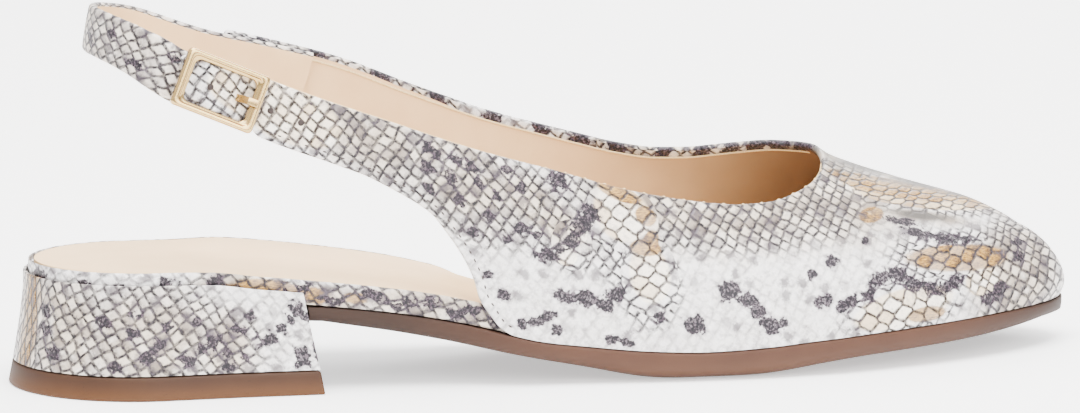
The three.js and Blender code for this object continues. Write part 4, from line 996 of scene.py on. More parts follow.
def build_sling(materials):
    skin = Skin(FIELDS)
    line, along, arc = through(sling_points(), 320)
    back = np.exp(-(((line[:, 0] - STRAP_BACK_X) / STRAP_BACK_REACH) ** 2))[:, None]
    lean = np.empty(len(line))
    for i, point in enumerate(line):
        side = 1 if point[1] > 0 else -1
        normal = wall_point(side, max(point[0], STRAP_BACK_X + STRAP_BACK_REACH), point[2])[1]
        lean[i] = math.asin(normal[2])
    lean = mix(lean[:, None], math.radians(STRAP_LEAN), back)
    across = unit(np.array([0, 0, 1.0]) - along * along[:, 2:])
    out = unit(np.cross(across, along))
    up = across * np.cos(lean) - out * np.sin(lean)
    face = out * np.cos(lean) + across * np.sin(lean)
    wide = mix(STRAP_WIDTH, STRAP_BACK_WIDTH, back) / 2
    thick = STRAP_THICKNESS / 2
    flat = wide - STRAP_ROLL
    turn = np.linspace(90, -90, 7)[1:-1]
    rows = []
    uv = []

    def rolled_edge(angles, way):
        for angle in angles:
            c, s = math.cos(math.radians(angle)), math.sin(math.radians(angle))
            rows.append(line + way * up * (flat + STRAP_ROLL * c) + face * (thick - STRAP_SINK) * s)
            uv.append(way * (wide[:, 0] + (90 - angle) / 180 * 2))

    for share in np.linspace(-1, 1, 19):
        crown = STRAP_CROWN * (1 - share ** 2)
        rows.append(line + up * (share * flat) + face * (thick + crown - STRAP_SINK))
        uv.append(share * wide[:, 0])
    rolled_edge(turn, 1)
    back_from = len(rows)
    for share in np.linspace(1, -1, 9):
        rows.append(line + up * (share * flat) - face * (thick - STRAP_SINK))
        uv.append(share * wide[:, 0] * 0.97)
    back_to = len(rows) - 1
    rolled_edge(turn[::-1], -1)
    slots = [int(back_from <= row < back_to) for row in range(len(rows))]
    grid = np.stack(rows, axis=1)
    v = np.stack(uv, axis=1)
    u = arc[:, None] + 0 * v
    values = {
        "dark": soft_marks(u, v, grown(STRAP_DARK, 1.2, 1.3)), "grey": 0.75, "lines": 0.9, "gold": 0.1,
        "big": 1.0,
    }
    skin.tube(grid, stack(u, v), np.array(slots)[None, :], **values)
    return skin.build("Sling_strap", materials, sharp=60)


def rounded_box(length, width, corner, steps=10):
    """Rounded rectangle, the same number of points for every size."""
    points = []
    for quarter, (sx, sy) in enumerate(((1, 1), (-1, 1), (-1, -1), (1, -1))):
        for k in range(steps + 1):
            turn = math.pi / 2 * (quarter + k / steps)
            points.append((sx * (length / 2 - corner) + corner * math.cos(turn),
                           sy * (width / 2 - corner) + corner * math.sin(turn)))
    return np.array(points)


def on_buckle(points):
    """Points along, across and outwards of the buckle, placed on the strap."""
    return BUCKLE[0] + points @ np.stack(BUCKLE[1:])


# Section of the buckle's bar: share of the way inwards, height as a share of the thickness
BAR_SECTION = [
    (0, 0.06), (0, 0.3), (0, 0.62), (0.02, 0.8), (0.08, 0.93), (0.16, 0.99), (0.3, 1), (0.52, 1),
    (0.58, 0.97), (0.62, 0.84), (0.68, 0.74), (0.78, 0.7), (0.88, 0.69), (0.95, 0.64), (0.99, 0.5),
    (1, 0.3), (1, 0.06), (0.96, 0), (0.5, 0), (0.04, 0), (0, 0.06),
]


def build_buckle_frame(materials):
    skin = Skin()
    outer = rounded_box(BUCKLE_LENGTH, BUCKLE_WIDTH, BUCKLE_CORNER)
    inner = rounded_box(BUCKLE_LENGTH - 2 * END_BAR, BUCKLE_WIDTH - 2 * SIDE_BAR, INNER_CORNER)
    rows = []
    for share, height in BAR_SECTION:
        plan = mix(outer, inner, share)
        rows.append(np.column_stack([plan, np.full(len(plan), FRAME_BASE + height * BUCKLE_THICKNESS)]))
    grid = on_buckle(np.stack(rows))
    skin.grid(grid, grid[..., :2], 0, closed=True)
    turn = np.linspace(0, 2 * math.pi, 16, endpoint=False)
    reach_out = BUCKLE_WIDTH / 2 - SIDE_BAR * 0.15
    bar = [stack(CENTRE_BAR / 2 * np.cos(turn), y, BAR_MIDDLE + CENTRE_BAR / 2 * np.sin(turn))
           for y in (-reach_out, reach_out)]
    grid = on_buckle(np.stack(bar))
    skin.tube(grid, grid[..., :2])
    for side in (-1, 1):
        foot = rounded_box(CENTRE_BAR, SIDE_BAR * 0.7, 0.2, 3)
        rows = [np.column_stack([foot[:, 0], foot[:, 1] + side * (BUCKLE_WIDTH - SIDE_BAR) / 2,
                                 np.full(len(foot), level)]) for level in (BAR_MIDDLE, FRAME_BASE + 0.4)]
        grid = on_buckle(np.stack(rows))
        skin.tube(grid, grid[..., :2])
    return skin.build("Buckle_frame_bevelled", materials, sharp=50)


def rounded_copy(node, name, width, material):
    """Smooth copy of a metal piece of the frame with its edges rounded."""
    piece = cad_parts[node].copy()
    piece.data = piece.data.copy()
    piece.name = name
    piece.parent = None
    piece.matrix_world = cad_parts[node].matrix_world
    bpy.context.scene.collection.objects.link(piece)
    bpy.context.view_layer.update()
    mesh = piece.data
    mesh.transform(piece.matrix_world)
    piece.matrix_world = Matrix.Identity(4)
    shape = bmesh.new()
    shape.from_mesh(mesh)
    bmesh.ops.remove_doubles(shape, verts=shape.verts, dist=MERGE_DISTANCE)
    bmesh.ops.dissolve_limit(shape, angle_limit=0.02, verts=shape.verts, edges=shape.edges)
    sharp = [edge for edge in shape.edges if len(edge.link_faces) == 2 and edge.calc_face_angle(0) > 0.6]
    bmesh.ops.bevel(
        shape, geom=sharp, offset=width, segments=4, profile=0.5, affect="EDGES", clamp_overlap=True)
    bmesh.ops.triangulate(shape, faces=shape.faces)
    shape.to_mesh(mesh)
    shape.free()
    mesh.materials.clear()
    mesh.materials.append(material)
    mesh.shade_smooth()
    mesh.set_sharp_from_angle(angle=math.radians(35))
    return piece


# Pieces that repeat along a path


def top_line(side, start, stop, rise, out, count=260):
    """Line beside the top edge of the upper: rise is above the edge and out is off the outer skin."""
    x = np.linspace(start, stop, count)
    bottom, top = edges(side, x)
    point = rib(side, x, top)
    normal = outward(side, x, top)
    away = np.cross(unit(np.gradient(point, axis=0)), normal)
    away *= np.sign((away * (point - rib(side, x, mix(bottom, top, 0.8)))).sum(axis=-1, keepdims=True))
    return point + unit(away) * rise + normal * (tail_lift(side, x)[:, None] + out)


def low_line(side, start, stop, rise, count=400):
    """Line on the outer skin at a distance above the lower edge of the quarter."""
    x = np.linspace(start, stop, count)
    bottom, top = edges(side, x)
    point = rib(side, x, bottom)
    normal = outward(side, x, np.maximum(bottom, 0.02))
    away = np.cross(unit(np.gradient(point, axis=0)), normal)
    away *= np.sign((away * (rib(side, x, mix(bottom, top, 0.2)) - point)).sum(axis=-1, keepdims=True))
    line = point + unit(away) * rise
    t = reach(lambda value: rib(side, line[:, 0], value)[..., 2], line[:, 2], line[:, 0])
    lift = tail_lift(side, line[:, 0])[:, None]
    return rib(side, line[:, 0], t) + outward(side, line[:, 0], t) * (lift + 0.04)


def path_mesh(name, points, joined=True):
    mesh = bpy.data.meshes.new(name)
    places = ((points - np.array([ORIGIN_X, 0, 0])) * MM).tolist()
    joins = [(i, i + 1) for i in range(len(places) - 1)] if joined else []
    mesh.from_pydata(places, joins, [])
    return new_object(name, mesh)


def new_tree(name, sockets):
    tree = bpy.data.node_groups.new(name, "GeometryNodeTree")
    tree.interface.new_socket("Geometry", in_out="INPUT", socket_type="NodeSocketGeometry")
    for label, kind in sockets:
        tree.interface.new_socket(label, in_out="INPUT", socket_type="NodeSocket" + kind)
    tree.interface.new_socket("Geometry", in_out="OUTPUT", socket_type="NodeSocketGeometry")
    return tree, add(tree, "NodeGroupInput").outputs


def finish_tree(tree, geometry, material):
    real = add(tree, "GeometryNodeRealizeInstances", {0: geometry}).outputs[0]
    smooth = add(tree, "GeometryNodeSetShadeSmooth", {0: real}).outputs[0]
    painted = add(tree, "GeometryNodeSetMaterial", {"Geometry": smooth, "Material": material}).outputs[0]
    add(tree, "NodeGroupOutput", {0: painted})


def baked(source, tree, name, values):
    """Runs a node tree on an object and returns the plain mesh that it makes."""
    modifier = source.modifiers.new("Path", "NODES")
    modifier.node_group = tree
    for item in tree.interface.items_tree:
        if item.item_type == "SOCKET" and item.in_out == "INPUT" and item.name in values:
            modifier[item.identifier] = values[item.name]
    source.update_tag()
    bpy.context.view_layer.update()
    ready = source.evaluated_get(bpy.context.evaluated_depsgraph_get())
    mesh = bpy.data.meshes.new_from_object(ready)
    source.modifiers.remove(modifier)
    bpy.data.objects.remove(source)
    mesh.name = name
    return new_object(name, mesh)


def stitches(name, points, pitch, length, radius, material):
    """Stitches at an even pitch along a line."""
    tree, given = new_tree(name + " stitches", (
        ("Pitch", "Float"), ("Radius", "Float"), ("Stretch", "Vector"), ("Thread", "Material")))
    curve_line = add(tree, "GeometryNodeMeshToCurve", {0: given["Geometry"]}).outputs[0]
    spacing = {"Curve": curve_line, "Length": given["Pitch"]}
    places = add(tree, "GeometryNodeCurveToPoints", spacing, mode="LENGTH")
    ball = {"Segments": 10, "Rings": 6, "Radius": given["Radius"]}
    ball = add(tree, "GeometryNodeMeshUVSphere", ball).outputs[0]
    copies = add(tree, "GeometryNodeInstanceOnPoints", {
        "Points": places.outputs["Points"], "Instance": ball, "Rotation": places.outputs["Rotation"],
        "Scale": given["Stretch"]}).outputs[0]
    finish_tree(tree, copies, given["Thread"])
    values = {
        "Pitch": pitch * MM, "Radius": radius * MM, "Stretch": (1, 1, length / (2 * radius)),
        "Thread": material,
    }
    return baked(path_mesh(name + " line", points), tree, name, values)


def cord_along(name, points, radius, material):
    """Thin round edge along a line."""
    tree, given = new_tree(name + " cord", (("Radius", "Float"), ("Leather", "Material")))
    curve_line = add(tree, "GeometryNodeMeshToCurve", {0: given["Geometry"]}).outputs[0]
    ring = {"Resolution": 8, "Radius": given["Radius"]}
    ring = add(tree, "GeometryNodeCurvePrimitiveCircle", ring).outputs[0]
    tube = {"Curve": curve_line, "Profile Curve": ring, "Fill Caps": True}
    tube = add(tree, "GeometryNodeCurveToMesh", tube)
    finish_tree(tree, tube.outputs[0], given["Leather"])
    return baked(path_mesh(name + " line", points), tree, name, {"Radius": radius * MM, "Leather": material})


def punched_holes(name, points, radius, material):
    """Dark discs of painted shade at the mouths of the strap's holes, lying in the strap's surface."""
    tree, given = new_tree(name + " holes", (
        ("Radius", "Float"), ("Turn", "Rotation"), ("Hole", "Material")))
    places = add(tree, "GeometryNodeMeshToPoints", {0: given["Geometry"]}).outputs[0]
    disc = {"Vertices": 24, "Radius": given["Radius"], "Depth": 0.0003}
    disc = add(tree, "GeometryNodeMeshCylinder", disc)
    copies = add(tree, "GeometryNodeInstanceOnPoints", {
        "Points": places, "Instance": disc.outputs[0], "Rotation": given["Turn"]}).outputs[0]
    finish_tree(tree, copies, given["Hole"])
    turn = Vector(BUCKLE[3]).to_track_quat("Z", "Y").to_euler()
    values = {"Radius": radius * MM, "Turn": turn, "Hole": material}
    return baked(path_mesh(name + " places", points, joined=False), tree, name, values)


def build_trims(settings):
    """Topstitch, lining edge and strap holes."""
    cut_end = SEAM_END * LAST_LENGTH - SEAM_STOP
    front = BUCKLE_X + BUCKLE_LENGTH / 2 + 1
    back, throat = MEDIAL_QUARTER_END + 3, THROAT_X - SEAM_STOP
    thread, edge = MATERIALS["thread"], MATERIALS["edge"]
    sizes = settings.stitch_pitch / MM, settings.stitch_length / MM, settings.stitch_radius / MM
    pieces = [
        stitches("Lateral_topstitch", low_line(-1, front, cut_end, SEAM_INSET), *sizes, thread),
        stitches("Medial_topstitch", low_line(1, back, cut_end + CUT_SHIFT, SEAM_INSET), *sizes, thread),
        cord_along("Lateral_lining_edge", top_line(-1, front, throat, 0.25, -1.15), 0.36, edge),
        cord_along("Medial_lining_edge", top_line(1, 60, throat, -FOLD_LIP, -WALL - 0.02), 0.3, edge),
        stitches("Throat_ticks", top_line(-1, 118, THROAT_X - 3, 0.3, -0.55), 5, 1.0, 0.42, edge),
    ]
    centres = []
    for step in (-1, 1, 2):
        middle = buckle_point(PRONG_HOLE + step * HOLE_PITCH, 0, 0)
        point, normal = wall_point(-1, middle[0], middle[2])
        centres.append(point + normal * (float(tail_lift(-1, middle[0])) - 0.06))
    pieces.append(punched_holes("Strap_holes", np.array(centres), 0.75, MATERIALS["hole"]))
    return pieces


# Materials


def feed(tree, node, inputs):
    """Connects or sets a node's inputs; inputs are sockets or plain values by socket name or number."""
    for key, value in inputs.items():
        if isinstance(value, bpy.types.NodeSocket):
            tree.links.new(value, node.inputs[key])
        else:
            node.inputs[key].default_value = value


def add(tree, kind, inputs=(), **settings):
    """Adds one node with its inputs and settings."""
    node = tree.nodes.new(kind)
    for key, value in settings.items():
        setattr(node, key, value)
    feed(tree, node, dict(inputs))
    return node


def sums(tree, operation, *values, clamp=False):
    node = add(tree, "ShaderNodeMath", dict(enumerate(values)), operation=operation, use_clamp=clamp)
    return node.outputs[0]


def times(tree, *values, clamp=False):
    return sums(tree, "MULTIPLY", *values, clamp=clamp)


def minus(tree, first, second):
    return sums(tree, "SUBTRACT", first, second)


def grow(tree, value, factor, start, clamp=False):
    """Start plus value times factor."""
    return sums(tree, "MULTIPLY_ADD", value, factor, start, clamp=clamp)


def blend(tree, share, first, second):
    node = tree.nodes.new("ShaderNodeMix")
    node.data_type = "RGBA"
    feed(tree, node, {0: share, 6: first, 7: second})
    return node.outputs[2]


def soft_step(tree, value, low, high):
    node = add(tree, "ShaderNodeMapRange", {0: value, 1: low, 2: high}, interpolation_type="SMOOTHSTEP")
    return node.outputs[0]


def noise(tree, vector, scale, detail=2.0, rough=0.5):
    inputs = {"Vector": vector, "Scale": scale, "Detail": detail, "Roughness": rough}
    return add(tree, "ShaderNodeTexNoise", inputs).outputs[0]


def scale_cells(tree, u, v, width, height, point):
    """Scales in staggered rows. point is 1 for diamonds and more for bricks with pointed ends.

    Returns the distance to the scale's edge in millimetres, a random value per scale and its lower side."""
    a_u = sums(tree, "DIVIDE", u, width)
    a_v = sums(tree, "DIVIDE", v, height)
    parts = []
    for shift in (0.0, 0.5):
        pu = sums(tree, "ADD", a_u, shift)
        pv = sums(tree, "ADD", a_v, shift)
        ru = sums(tree, "ROUND", pu)
        rv = sums(tree, "ROUND", pv)
        su = minus(tree, pu, ru)
        sv = minus(tree, pv, rv)
        du = sums(tree, "ABSOLUTE", su)
        size = grow(tree, sums(tree, "ABSOLUTE", sv), point, du)
        parts.append((size, du, ru, rv, minus(tree, times(tree, su, 0.6), sv)))
    first, second = parts
    gap = minus(tree, first[0], second[0])
    picks = sums(tree, "LESS_THAN", gap, 0.0)
    slope = 2 * math.hypot(1 / width, point / height)
    edge = sums(tree, "DIVIDE", sums(tree, "ABSOLUTE", gap), slope)

    def choose(k):
        lift = minus(tree, first[k], second[k])
        return grow(tree, lift, picks, second[k])

    if point > 1:
        flat = times(tree, minus(tree, 0.5, choose(1)), width)
        edge = sums(tree, "MINIMUM", edge, flat)
    cell = add(tree, "ShaderNodeCombineXYZ", {0: choose(2), 1: choose(3), 2: picks}).outputs[0]
    random = add(tree, "ShaderNodeTexWhiteNoise", {"Vector": cell}, noise_dimensions="3D").outputs[0]
    return edge, random, choose(4)


def new_material(name):
    material = bpy.data.materials.new(name)
    material.use_nodes = True
    tree = material.node_tree
    return material, tree, tree.nodes["Principled BSDF"]


def new_surface(name):
    """New material with its object coordinates in millimetres."""
    material, tree, shader = new_material(name)
    place = add(tree, "ShaderNodeTexCoord").outputs["Object"]
    return material, tree, shader, scaled(tree, place, 1000.0)


def scaled(tree, vector, factor):
    return add(tree, "ShaderNodeVectorMath", {0: vector, 3: factor}, operation="SCALE").outputs[0]


def bumped(tree, height, strength, distance):
    inputs = {"Height": height, "Strength": strength, "Distance": distance}
    return add(tree, "ShaderNodeBump", inputs).outputs[0]


def stretched(tree, vector, factors):
    return add(tree, "ShaderNodeMapping", {0: vector, 3: factors}).outputs[0]


def parted(tree, vector):
    return add(tree, "ShaderNodeSeparateXYZ", {0: vector}).outputs


def vector_sum(tree, operation, first, second):
    return add(tree, "ShaderNodeVectorMath", {0: first, 1: second}, operation=operation).outputs[0]


# Colours of the printed leather; shade is the colour of the painted shade on the lower side of each scale
PRINT = {
    "white": srgb("#fbf9f7"), "white_deep": srgb("#c4bcb9"), "sand": srgb("#dccdb9"),
    "sand_deep": srgb("#7a6d62"), "sand_pale": srgb("#e6ded5"), "cream": srgb("#fdf4e6"),
    "cream_deep": srgb("#dcc4a2"), "brick": srgb("#d2b27a"), "brick_deep": srgb("#835f33"),
    "gilt_deep": srgb("#5a3503"), "gilt": srgb("#bd9142"), "shade": srgb("#231a20"),
    "line": srgb("#120b0f"), "line_on_cream": srgb("#1c0f06"), "star": srgb("#3c323a"),
    "cloud": srgb("#5f565a"), "ash": srgb("#4f4a45"), "halo": srgb("#5f5460"), "ink": srgb("#4a3946"),
    "ink_deep": srgb("#0b050e"), "vein": srgb("#544a4f"),
}


def snake_leather(name, lattices, turn=0.0, line_width=0.56):
    """Printed snake-look leather with painted shade on each scale's lower side: lattices are (field or None,
    width, height, point) of the scales.
    """
    material, tree, shader, fine = new_surface(name)
    uv = add(tree, "ShaderNodeUVMap", uv_map="ScaleMap").outputs[0]
    bent = add(tree, "ShaderNodeTexNoise", {"Vector": fine, "Scale": 0.11, "Detail": 1.0}).outputs[1]
    shifted = vector_sum(tree, "SUBTRACT", bent, (0.5, 0.5, 0.5))
    wobble = scaled(tree, shifted, 3.2)
    ripple = add(tree, "ShaderNodeTexNoise", {"Vector": fine, "Scale": 0.6, "Detail": 1.0}).outputs[1]
    ripple = scaled(tree, ripple, 0.5)
    moved = vector_sum(tree, "ADD", vector_sum(tree, "ADD", uv, wobble), ripple)
    turned = add(tree, "ShaderNodeVectorRotate", {"Vector": moved, "Angle": math.radians(turn)}).outputs[0]
    axes = parted(tree, turned)

    def field(key):
        return add(tree, "ShaderNodeAttribute", attribute_name=key).outputs["Fac"]

    cells = None
    for key, width, height, point in lattices:
        found = scale_cells(tree, axes[0], axes[1], width, height, point)
        if key is None:
            cells = found
            continue
        share = soft_step(tree, field(key), 0.45, 0.55)
        cells = [grow(tree, minus(tree, new, old), share, old)
                 for new, old in zip(found, cells)]
    edge, random, lower = cells

    cloud = noise(tree, fine, 0.35, 3.0)
    speck = noise(tree, fine, 2.6, 4.0, 0.65)
    grain = noise(tree, fine, 5.0, 3.0, 0.6)
    smoke = noise(tree, fine, 0.9, 4.0, 0.7)
    lines = field("lines")
    grey = field("grey")
    cream = soft_step(tree, field("cream"), 0.35, 0.65)
    gold = field("gold")
    dark = field("dark")

    white = blend(tree, times(tree, cloud, 0.9), PRINT["white"], PRINT["white_deep"])
    patch = noise(tree, fine, 0.16, 3.0, 0.6)
    tint = blend(tree, random, PRINT["sand"], PRINT["sand_deep"])
    tint = blend(tree, soft_step(tree, patch, 0.5, 0.75), tint, PRINT["sand_pale"])
    colour = blend(tree, times(tree, grey, 1.0, clamp=True), white, tint)
    pale = blend(tree, random, PRINT["cream"], PRINT["cream_deep"])
    brick = blend(tree, random, PRINT["brick"], PRINT["brick_deep"])
    pale = blend(tree, times(tree, soft_step(tree, field("brick"), 0.4, 0.6), 0.75), pale, brick)
    colour = blend(tree, cream, colour, pale)
    streak = noise(tree, stretched(tree, fine, (0.6, 0.6, 3.0)), 1.4, 4.0, 0.7)
    gilt = blend(tree, soft_step(tree, streak, 0.35, 0.65), PRINT["gilt_deep"], PRINT["gilt"])
    gold_share = soft_step(tree, grow(tree, speck, 0.3, gold), 0.4, 0.65)
    gold_share = times(tree, gold_share, grow(tree, random, 0.45, 0.72), clamp=True)
    colour = blend(tree, gold_share, colour, gilt)

    zone = soft_step(tree, grow(tree, cloud, 0.6, lines), 0.08, 0.85)
    # Painted shade: the lower side of each scale is darkened as the shadow of the scale above it, in the
    # line zones and off the cream cells
    shade = times(tree, soft_step(tree, lower, -0.08, 0.3), soft_step(tree, smoke, 0.4, 0.56))
    shade = times(tree, shade, soft_step(tree, random, 0.1, 0.6))
    shade = times(tree, times(tree, shade, zone), minus(tree, 1.0, cream))
    colour = blend(tree, times(tree, shade, 0.85), colour, PRINT["shade"])
    ragged = grow(tree, minus(tree, speck, 0.5), 0.3, edge)
    line = soft_step(tree, ragged, line_width, line_width * 0.3)
    strength = times(tree, line, zone)
    patchy = times(tree, strength, grow(tree, smoke, 1.8, 0.02), clamp=True)
    warm = blend(tree, cream, PRINT["line"], PRINT["line_on_cream"])
    colour = blend(tree, patchy, colour, warm)

    flat = scaled(tree, moved, 0.16)
    seeds = {"Vector": flat, "Scale": 1.0}
    seeds = add(tree, "ShaderNodeTexVoronoi", seeds, voronoi_dimensions="2D").outputs
    chosen = soft_step(tree, parted(tree, seeds["Color"])[0], 0.25, 0.6)
    star = grow(tree, minus(tree, smoke, 0.5), 0.6, seeds["Distance"])
    star = times(tree, soft_step(tree, star, 0.3, 0.1), chosen)
    star = times(tree, star, minus(tree, 1.0, cream))
    colour = blend(tree, times(tree, star, 0.7), colour, PRINT["star"])
    cloudy = soft_step(tree, noise(tree, fine, 0.6, 5.0, 0.72), 0.47, 0.66)
    colour = blend(tree, times(tree, cloudy, 0.36), colour, PRINT["cloud"])

    ash = times(tree, field("ash"), grow(tree, grain, 1.0, 0.6), clamp=True)
    colour = blend(tree, ash, colour, PRINT["ash"])

    spill = grow(tree, minus(tree, noise(tree, fine, 0.7, 2.5, 0.6), 0.5), 1.1, dark)
    spill = grow(tree, minus(tree, random, 0.5), times(tree, zone, 0.3), spill)
    spill = grow(tree, strength, 0.12, spill)
    mottle = soft_step(tree, noise(tree, fine, 1.7, 4.0, 0.7), 0.38, 0.52)
    halo = times(tree, soft_step(tree, spill, 0.22, 0.5), 0.4)
    colour = blend(tree, halo, colour, PRINT["halo"])
    blot = soft_step(tree, spill, 0.44, 0.54)
    blot = times(tree, blot, grow(tree, mottle, 0.25, 0.78), clamp=True)
    ink = blend(tree, mottle, PRINT["ink"], PRINT["ink_deep"])
    colour = blend(tree, blot, colour, ink)
    vein = soft_step(tree, sums(tree, "ABSOLUTE", minus(tree, smoke, 0.5)), 0.012, 0.0)
    colour = blend(tree, times(tree, vein, 0.4), colour, PRINT["vein"])

    dome = soft_step(tree, edge, 0.0, 0.7)
    dome = times(tree, dome, grow(tree, lines, 0.85, 0.15))
    height = grow(tree, grain, 0.22, dome)
    feed(tree, shader, {
        "Base Color": colour, "Normal": bumped(tree, height, 0.7, 0.0003), "Metallic": 0.1,
        "Roughness": add(tree, "ShaderNodeMapRange", {0: cloud, 3: 0.34, 4: 0.5}).outputs[0],
        "Specular IOR Level": 0.35,
    })
    return material


def plain_leather(name, light, deep, grain_size=1.6, shade=None):
    """Smooth lining leather with a fine grain; shade is painted shade that darkens it towards the toe, where
    the toe box lies in shadow.
    """
    material, tree, shader, fine = new_surface(name)
    cloud = noise(tree, fine, 0.08, 3.0)
    grain = noise(tree, fine, grain_size, 4.0, 0.6)
    colour = blend(tree, cloud, tuple(light), srgb(deep))
    darker = blend(tree, 0.25, colour, srgb(deep))
    colour = blend(tree, soft_step(tree, grain, 0.55, 0.75), colour, darker)
    # Painted shade: the lining darkens towards the toe, where the inside of the toe box is in shadow
    if shade:
        along = parted(tree, fine)[0]
        colour = blend(tree, soft_step(tree, along, 95.0, 185.0), colour, srgb(shade))
    normal = bumped(tree, grain, 0.25, 0.00008)
    feed(tree, shader, {"Base Color": colour, "Normal": normal, "Roughness": 0.62})
    return material


def sole_rubber(name, light, deep, foot, top, middle=0.0, painted_end_shade=0.0):
    """Moulded brown rubber, paler towards the floor and darker towards the given height, with painted shade
    away from the middle.
    """
    material, tree, shader, fine = new_surface(name)
    cloud = noise(tree, fine, 0.06, 3.0)
    grain = noise(tree, fine, 2.2, 3.0, 0.6)
    colour = blend(tree, cloud, tuple(light), srgb(deep))
    axes = parted(tree, fine)
    along, rise = axes[0], axes[2]
    colour = blend(tree, soft_step(tree, rise, 0.0, top), srgb(foot), colour)
    colour = blend(tree, soft_step(tree, grain, 0.6, 0.8), colour, srgb(deep))
    # Painted shade: the rubber darkens away from the middle of the sole, towards the waist and the toe,
    # where the sole lies in shadow
    ends = soft_step(tree, sums(tree, "ABSOLUTE", minus(tree, along, middle)), 38.0, 92.0)
    colour = blend(tree, times(tree, ends, painted_end_shade), colour, srgb("#20140e"))
    feed(tree, shader, {
        "Base Color": colour, "Normal": bumped(tree, grain, 0.2, 0.00008), "Roughness": 0.6,
        "Specular IOR Level": 0.22,
    })
    return material


def pale_gold(name, light, deep):
    """Polished pale gold plating with faint scratches."""
    material, tree, shader, fine = new_surface(name)
    scratch = noise(tree, stretched(tree, fine, (0.5, 4.0, 4.0)), 1.2, 4.0, 0.7)
    colour = blend(tree, scratch, tuple(light), srgb(deep))
    rough = add(tree, "ShaderNodeMapRange", {0: scratch, 3: 0.12, 4: 0.28}).outputs[0]
    feed(tree, shader, {"Base Color": colour, "Roughness": rough, "Metallic": 1.0})
    return material


def plain_thread(name, light, deep):
    """Thread or raw edge with a fine twist."""
    material, tree, shader = new_material(name)
    place = add(tree, "ShaderNodeTexCoord").outputs["Object"]
    twist = add(tree, "ShaderNodeTexNoise", {"Vector": place, "Scale": 3000.0}).outputs[0]
    feed(tree, shader, {"Base Color": blend(tree, twist, tuple(light), srgb(deep)), "Roughness": 0.8})
    return material


# Stage


# The photo's view: turn and rise in degrees, target and distance in metres, focal length in pixels
CAMERA_TURN = -15
CAMERA_RISE = 8.64
CAMERA_TARGET = (0.0949, 0, 0.0373)
CAMERA_DISTANCE = 1.5
FOCAL_PIXELS = 6267
PHOTO_WIDTH = 1080
SENSOR_WIDTH = 36

# Lights: name, place in metres, size in metres and power in watts
LIGHTS = (
    ("Top soft light", (0.05, -0.25, 1.3), 1.1, 62),
    ("Front soft light", (0.35, -1.4, 0.7), 0.9, 21),
    ("Back soft light", (0.5, 1.0, 0.7), 0.7, 14),
)
LIGHT_TARGET = (0.1, 0, 0.03)
WHITE = (1, 1, 1, 1)


def photo_camera():
    turn, rise = math.radians(CAMERA_TURN), math.radians(CAMERA_RISE)
    back = Vector((math.sin(turn) * math.cos(rise), -math.cos(turn) * math.cos(rise), math.sin(rise)))
    right = Vector((math.cos(turn), math.sin(turn), 0))
    up = back.cross(right)
    data = bpy.data.cameras.new("Photo camera")
    data.lens = FOCAL_PIXELS / PHOTO_WIDTH * SENSOR_WIDTH
    data.sensor_width = SENSOR_WIDTH
    data.clip_end = 20
    camera = new_object("Photo camera", data)
    matrix = Matrix((right, up, back)).transposed().to_4x4()
    matrix.translation = Vector(CAMERA_TARGET) + back * CAMERA_DISTANCE
    camera.matrix_world = matrix
    bpy.context.scene.camera = camera


def area_light(name, place, size, power):
    data = bpy.data.lights.new(name, "AREA")
    data.shape = "DISK"
    data.size = size
    data.energy = power
    light = new_object(name, data)
    light.location = place
    direction = Vector(LIGHT_TARGET) - Vector(place)
    light.rotation_euler = direction.to_track_quat("-Z", "Y").to_euler()
    return light


def floor_and_lights():
    mesh = bpy.data.meshes.new("Floor")
    mesh.from_pydata([(-6, -4, 0), (6, -4, 0), (6, 12, 0), (-6, 12, 0)], [], [(0, 1, 2, 3)])
    material, tree, shader = new_material("White paper floor")
    feed(tree, shader, {
        "Base Color": srgb("#f6f5f4"), "Roughness": 0.85, "Emission Color": WHITE,
        "Emission Strength": 0.75,
    })
    mesh.materials.append(material)
    new_object("Floor", mesh)
    world = bpy.data.worlds.new("White studio")
    world.use_nodes = True
    tree = world.node_tree
    sky = parted(tree, add(tree, "ShaderNodeTexCoord").outputs["Generated"])[2]
    shine = add(tree, "ShaderNodeMapRange", {0: sky, 1: -0.1, 2: 0.6, 3: 0.25, 4: 2.6}).outputs[0]
    tree.links.new(shine, tree.nodes["Background"].inputs[1])
    tree.nodes["Background"].inputs[0].default_value = WHITE
    bpy.context.scene.world = world
    for light in LIGHTS:
        area_light(*light)


# Add-on


def length(name, description, value):
    return bpy.props.FloatProperty(
        name=name, description=description, default=value * MM, min=0.0, precision=5, unit="LENGTH",
        subtype="DISTANCE")


def colour(name, description, code):
    return bpy.props.FloatVectorProperty(
        name=name, description=description, default=srgb(code), size=4, min=0.0, max=1.0, subtype="COLOR")


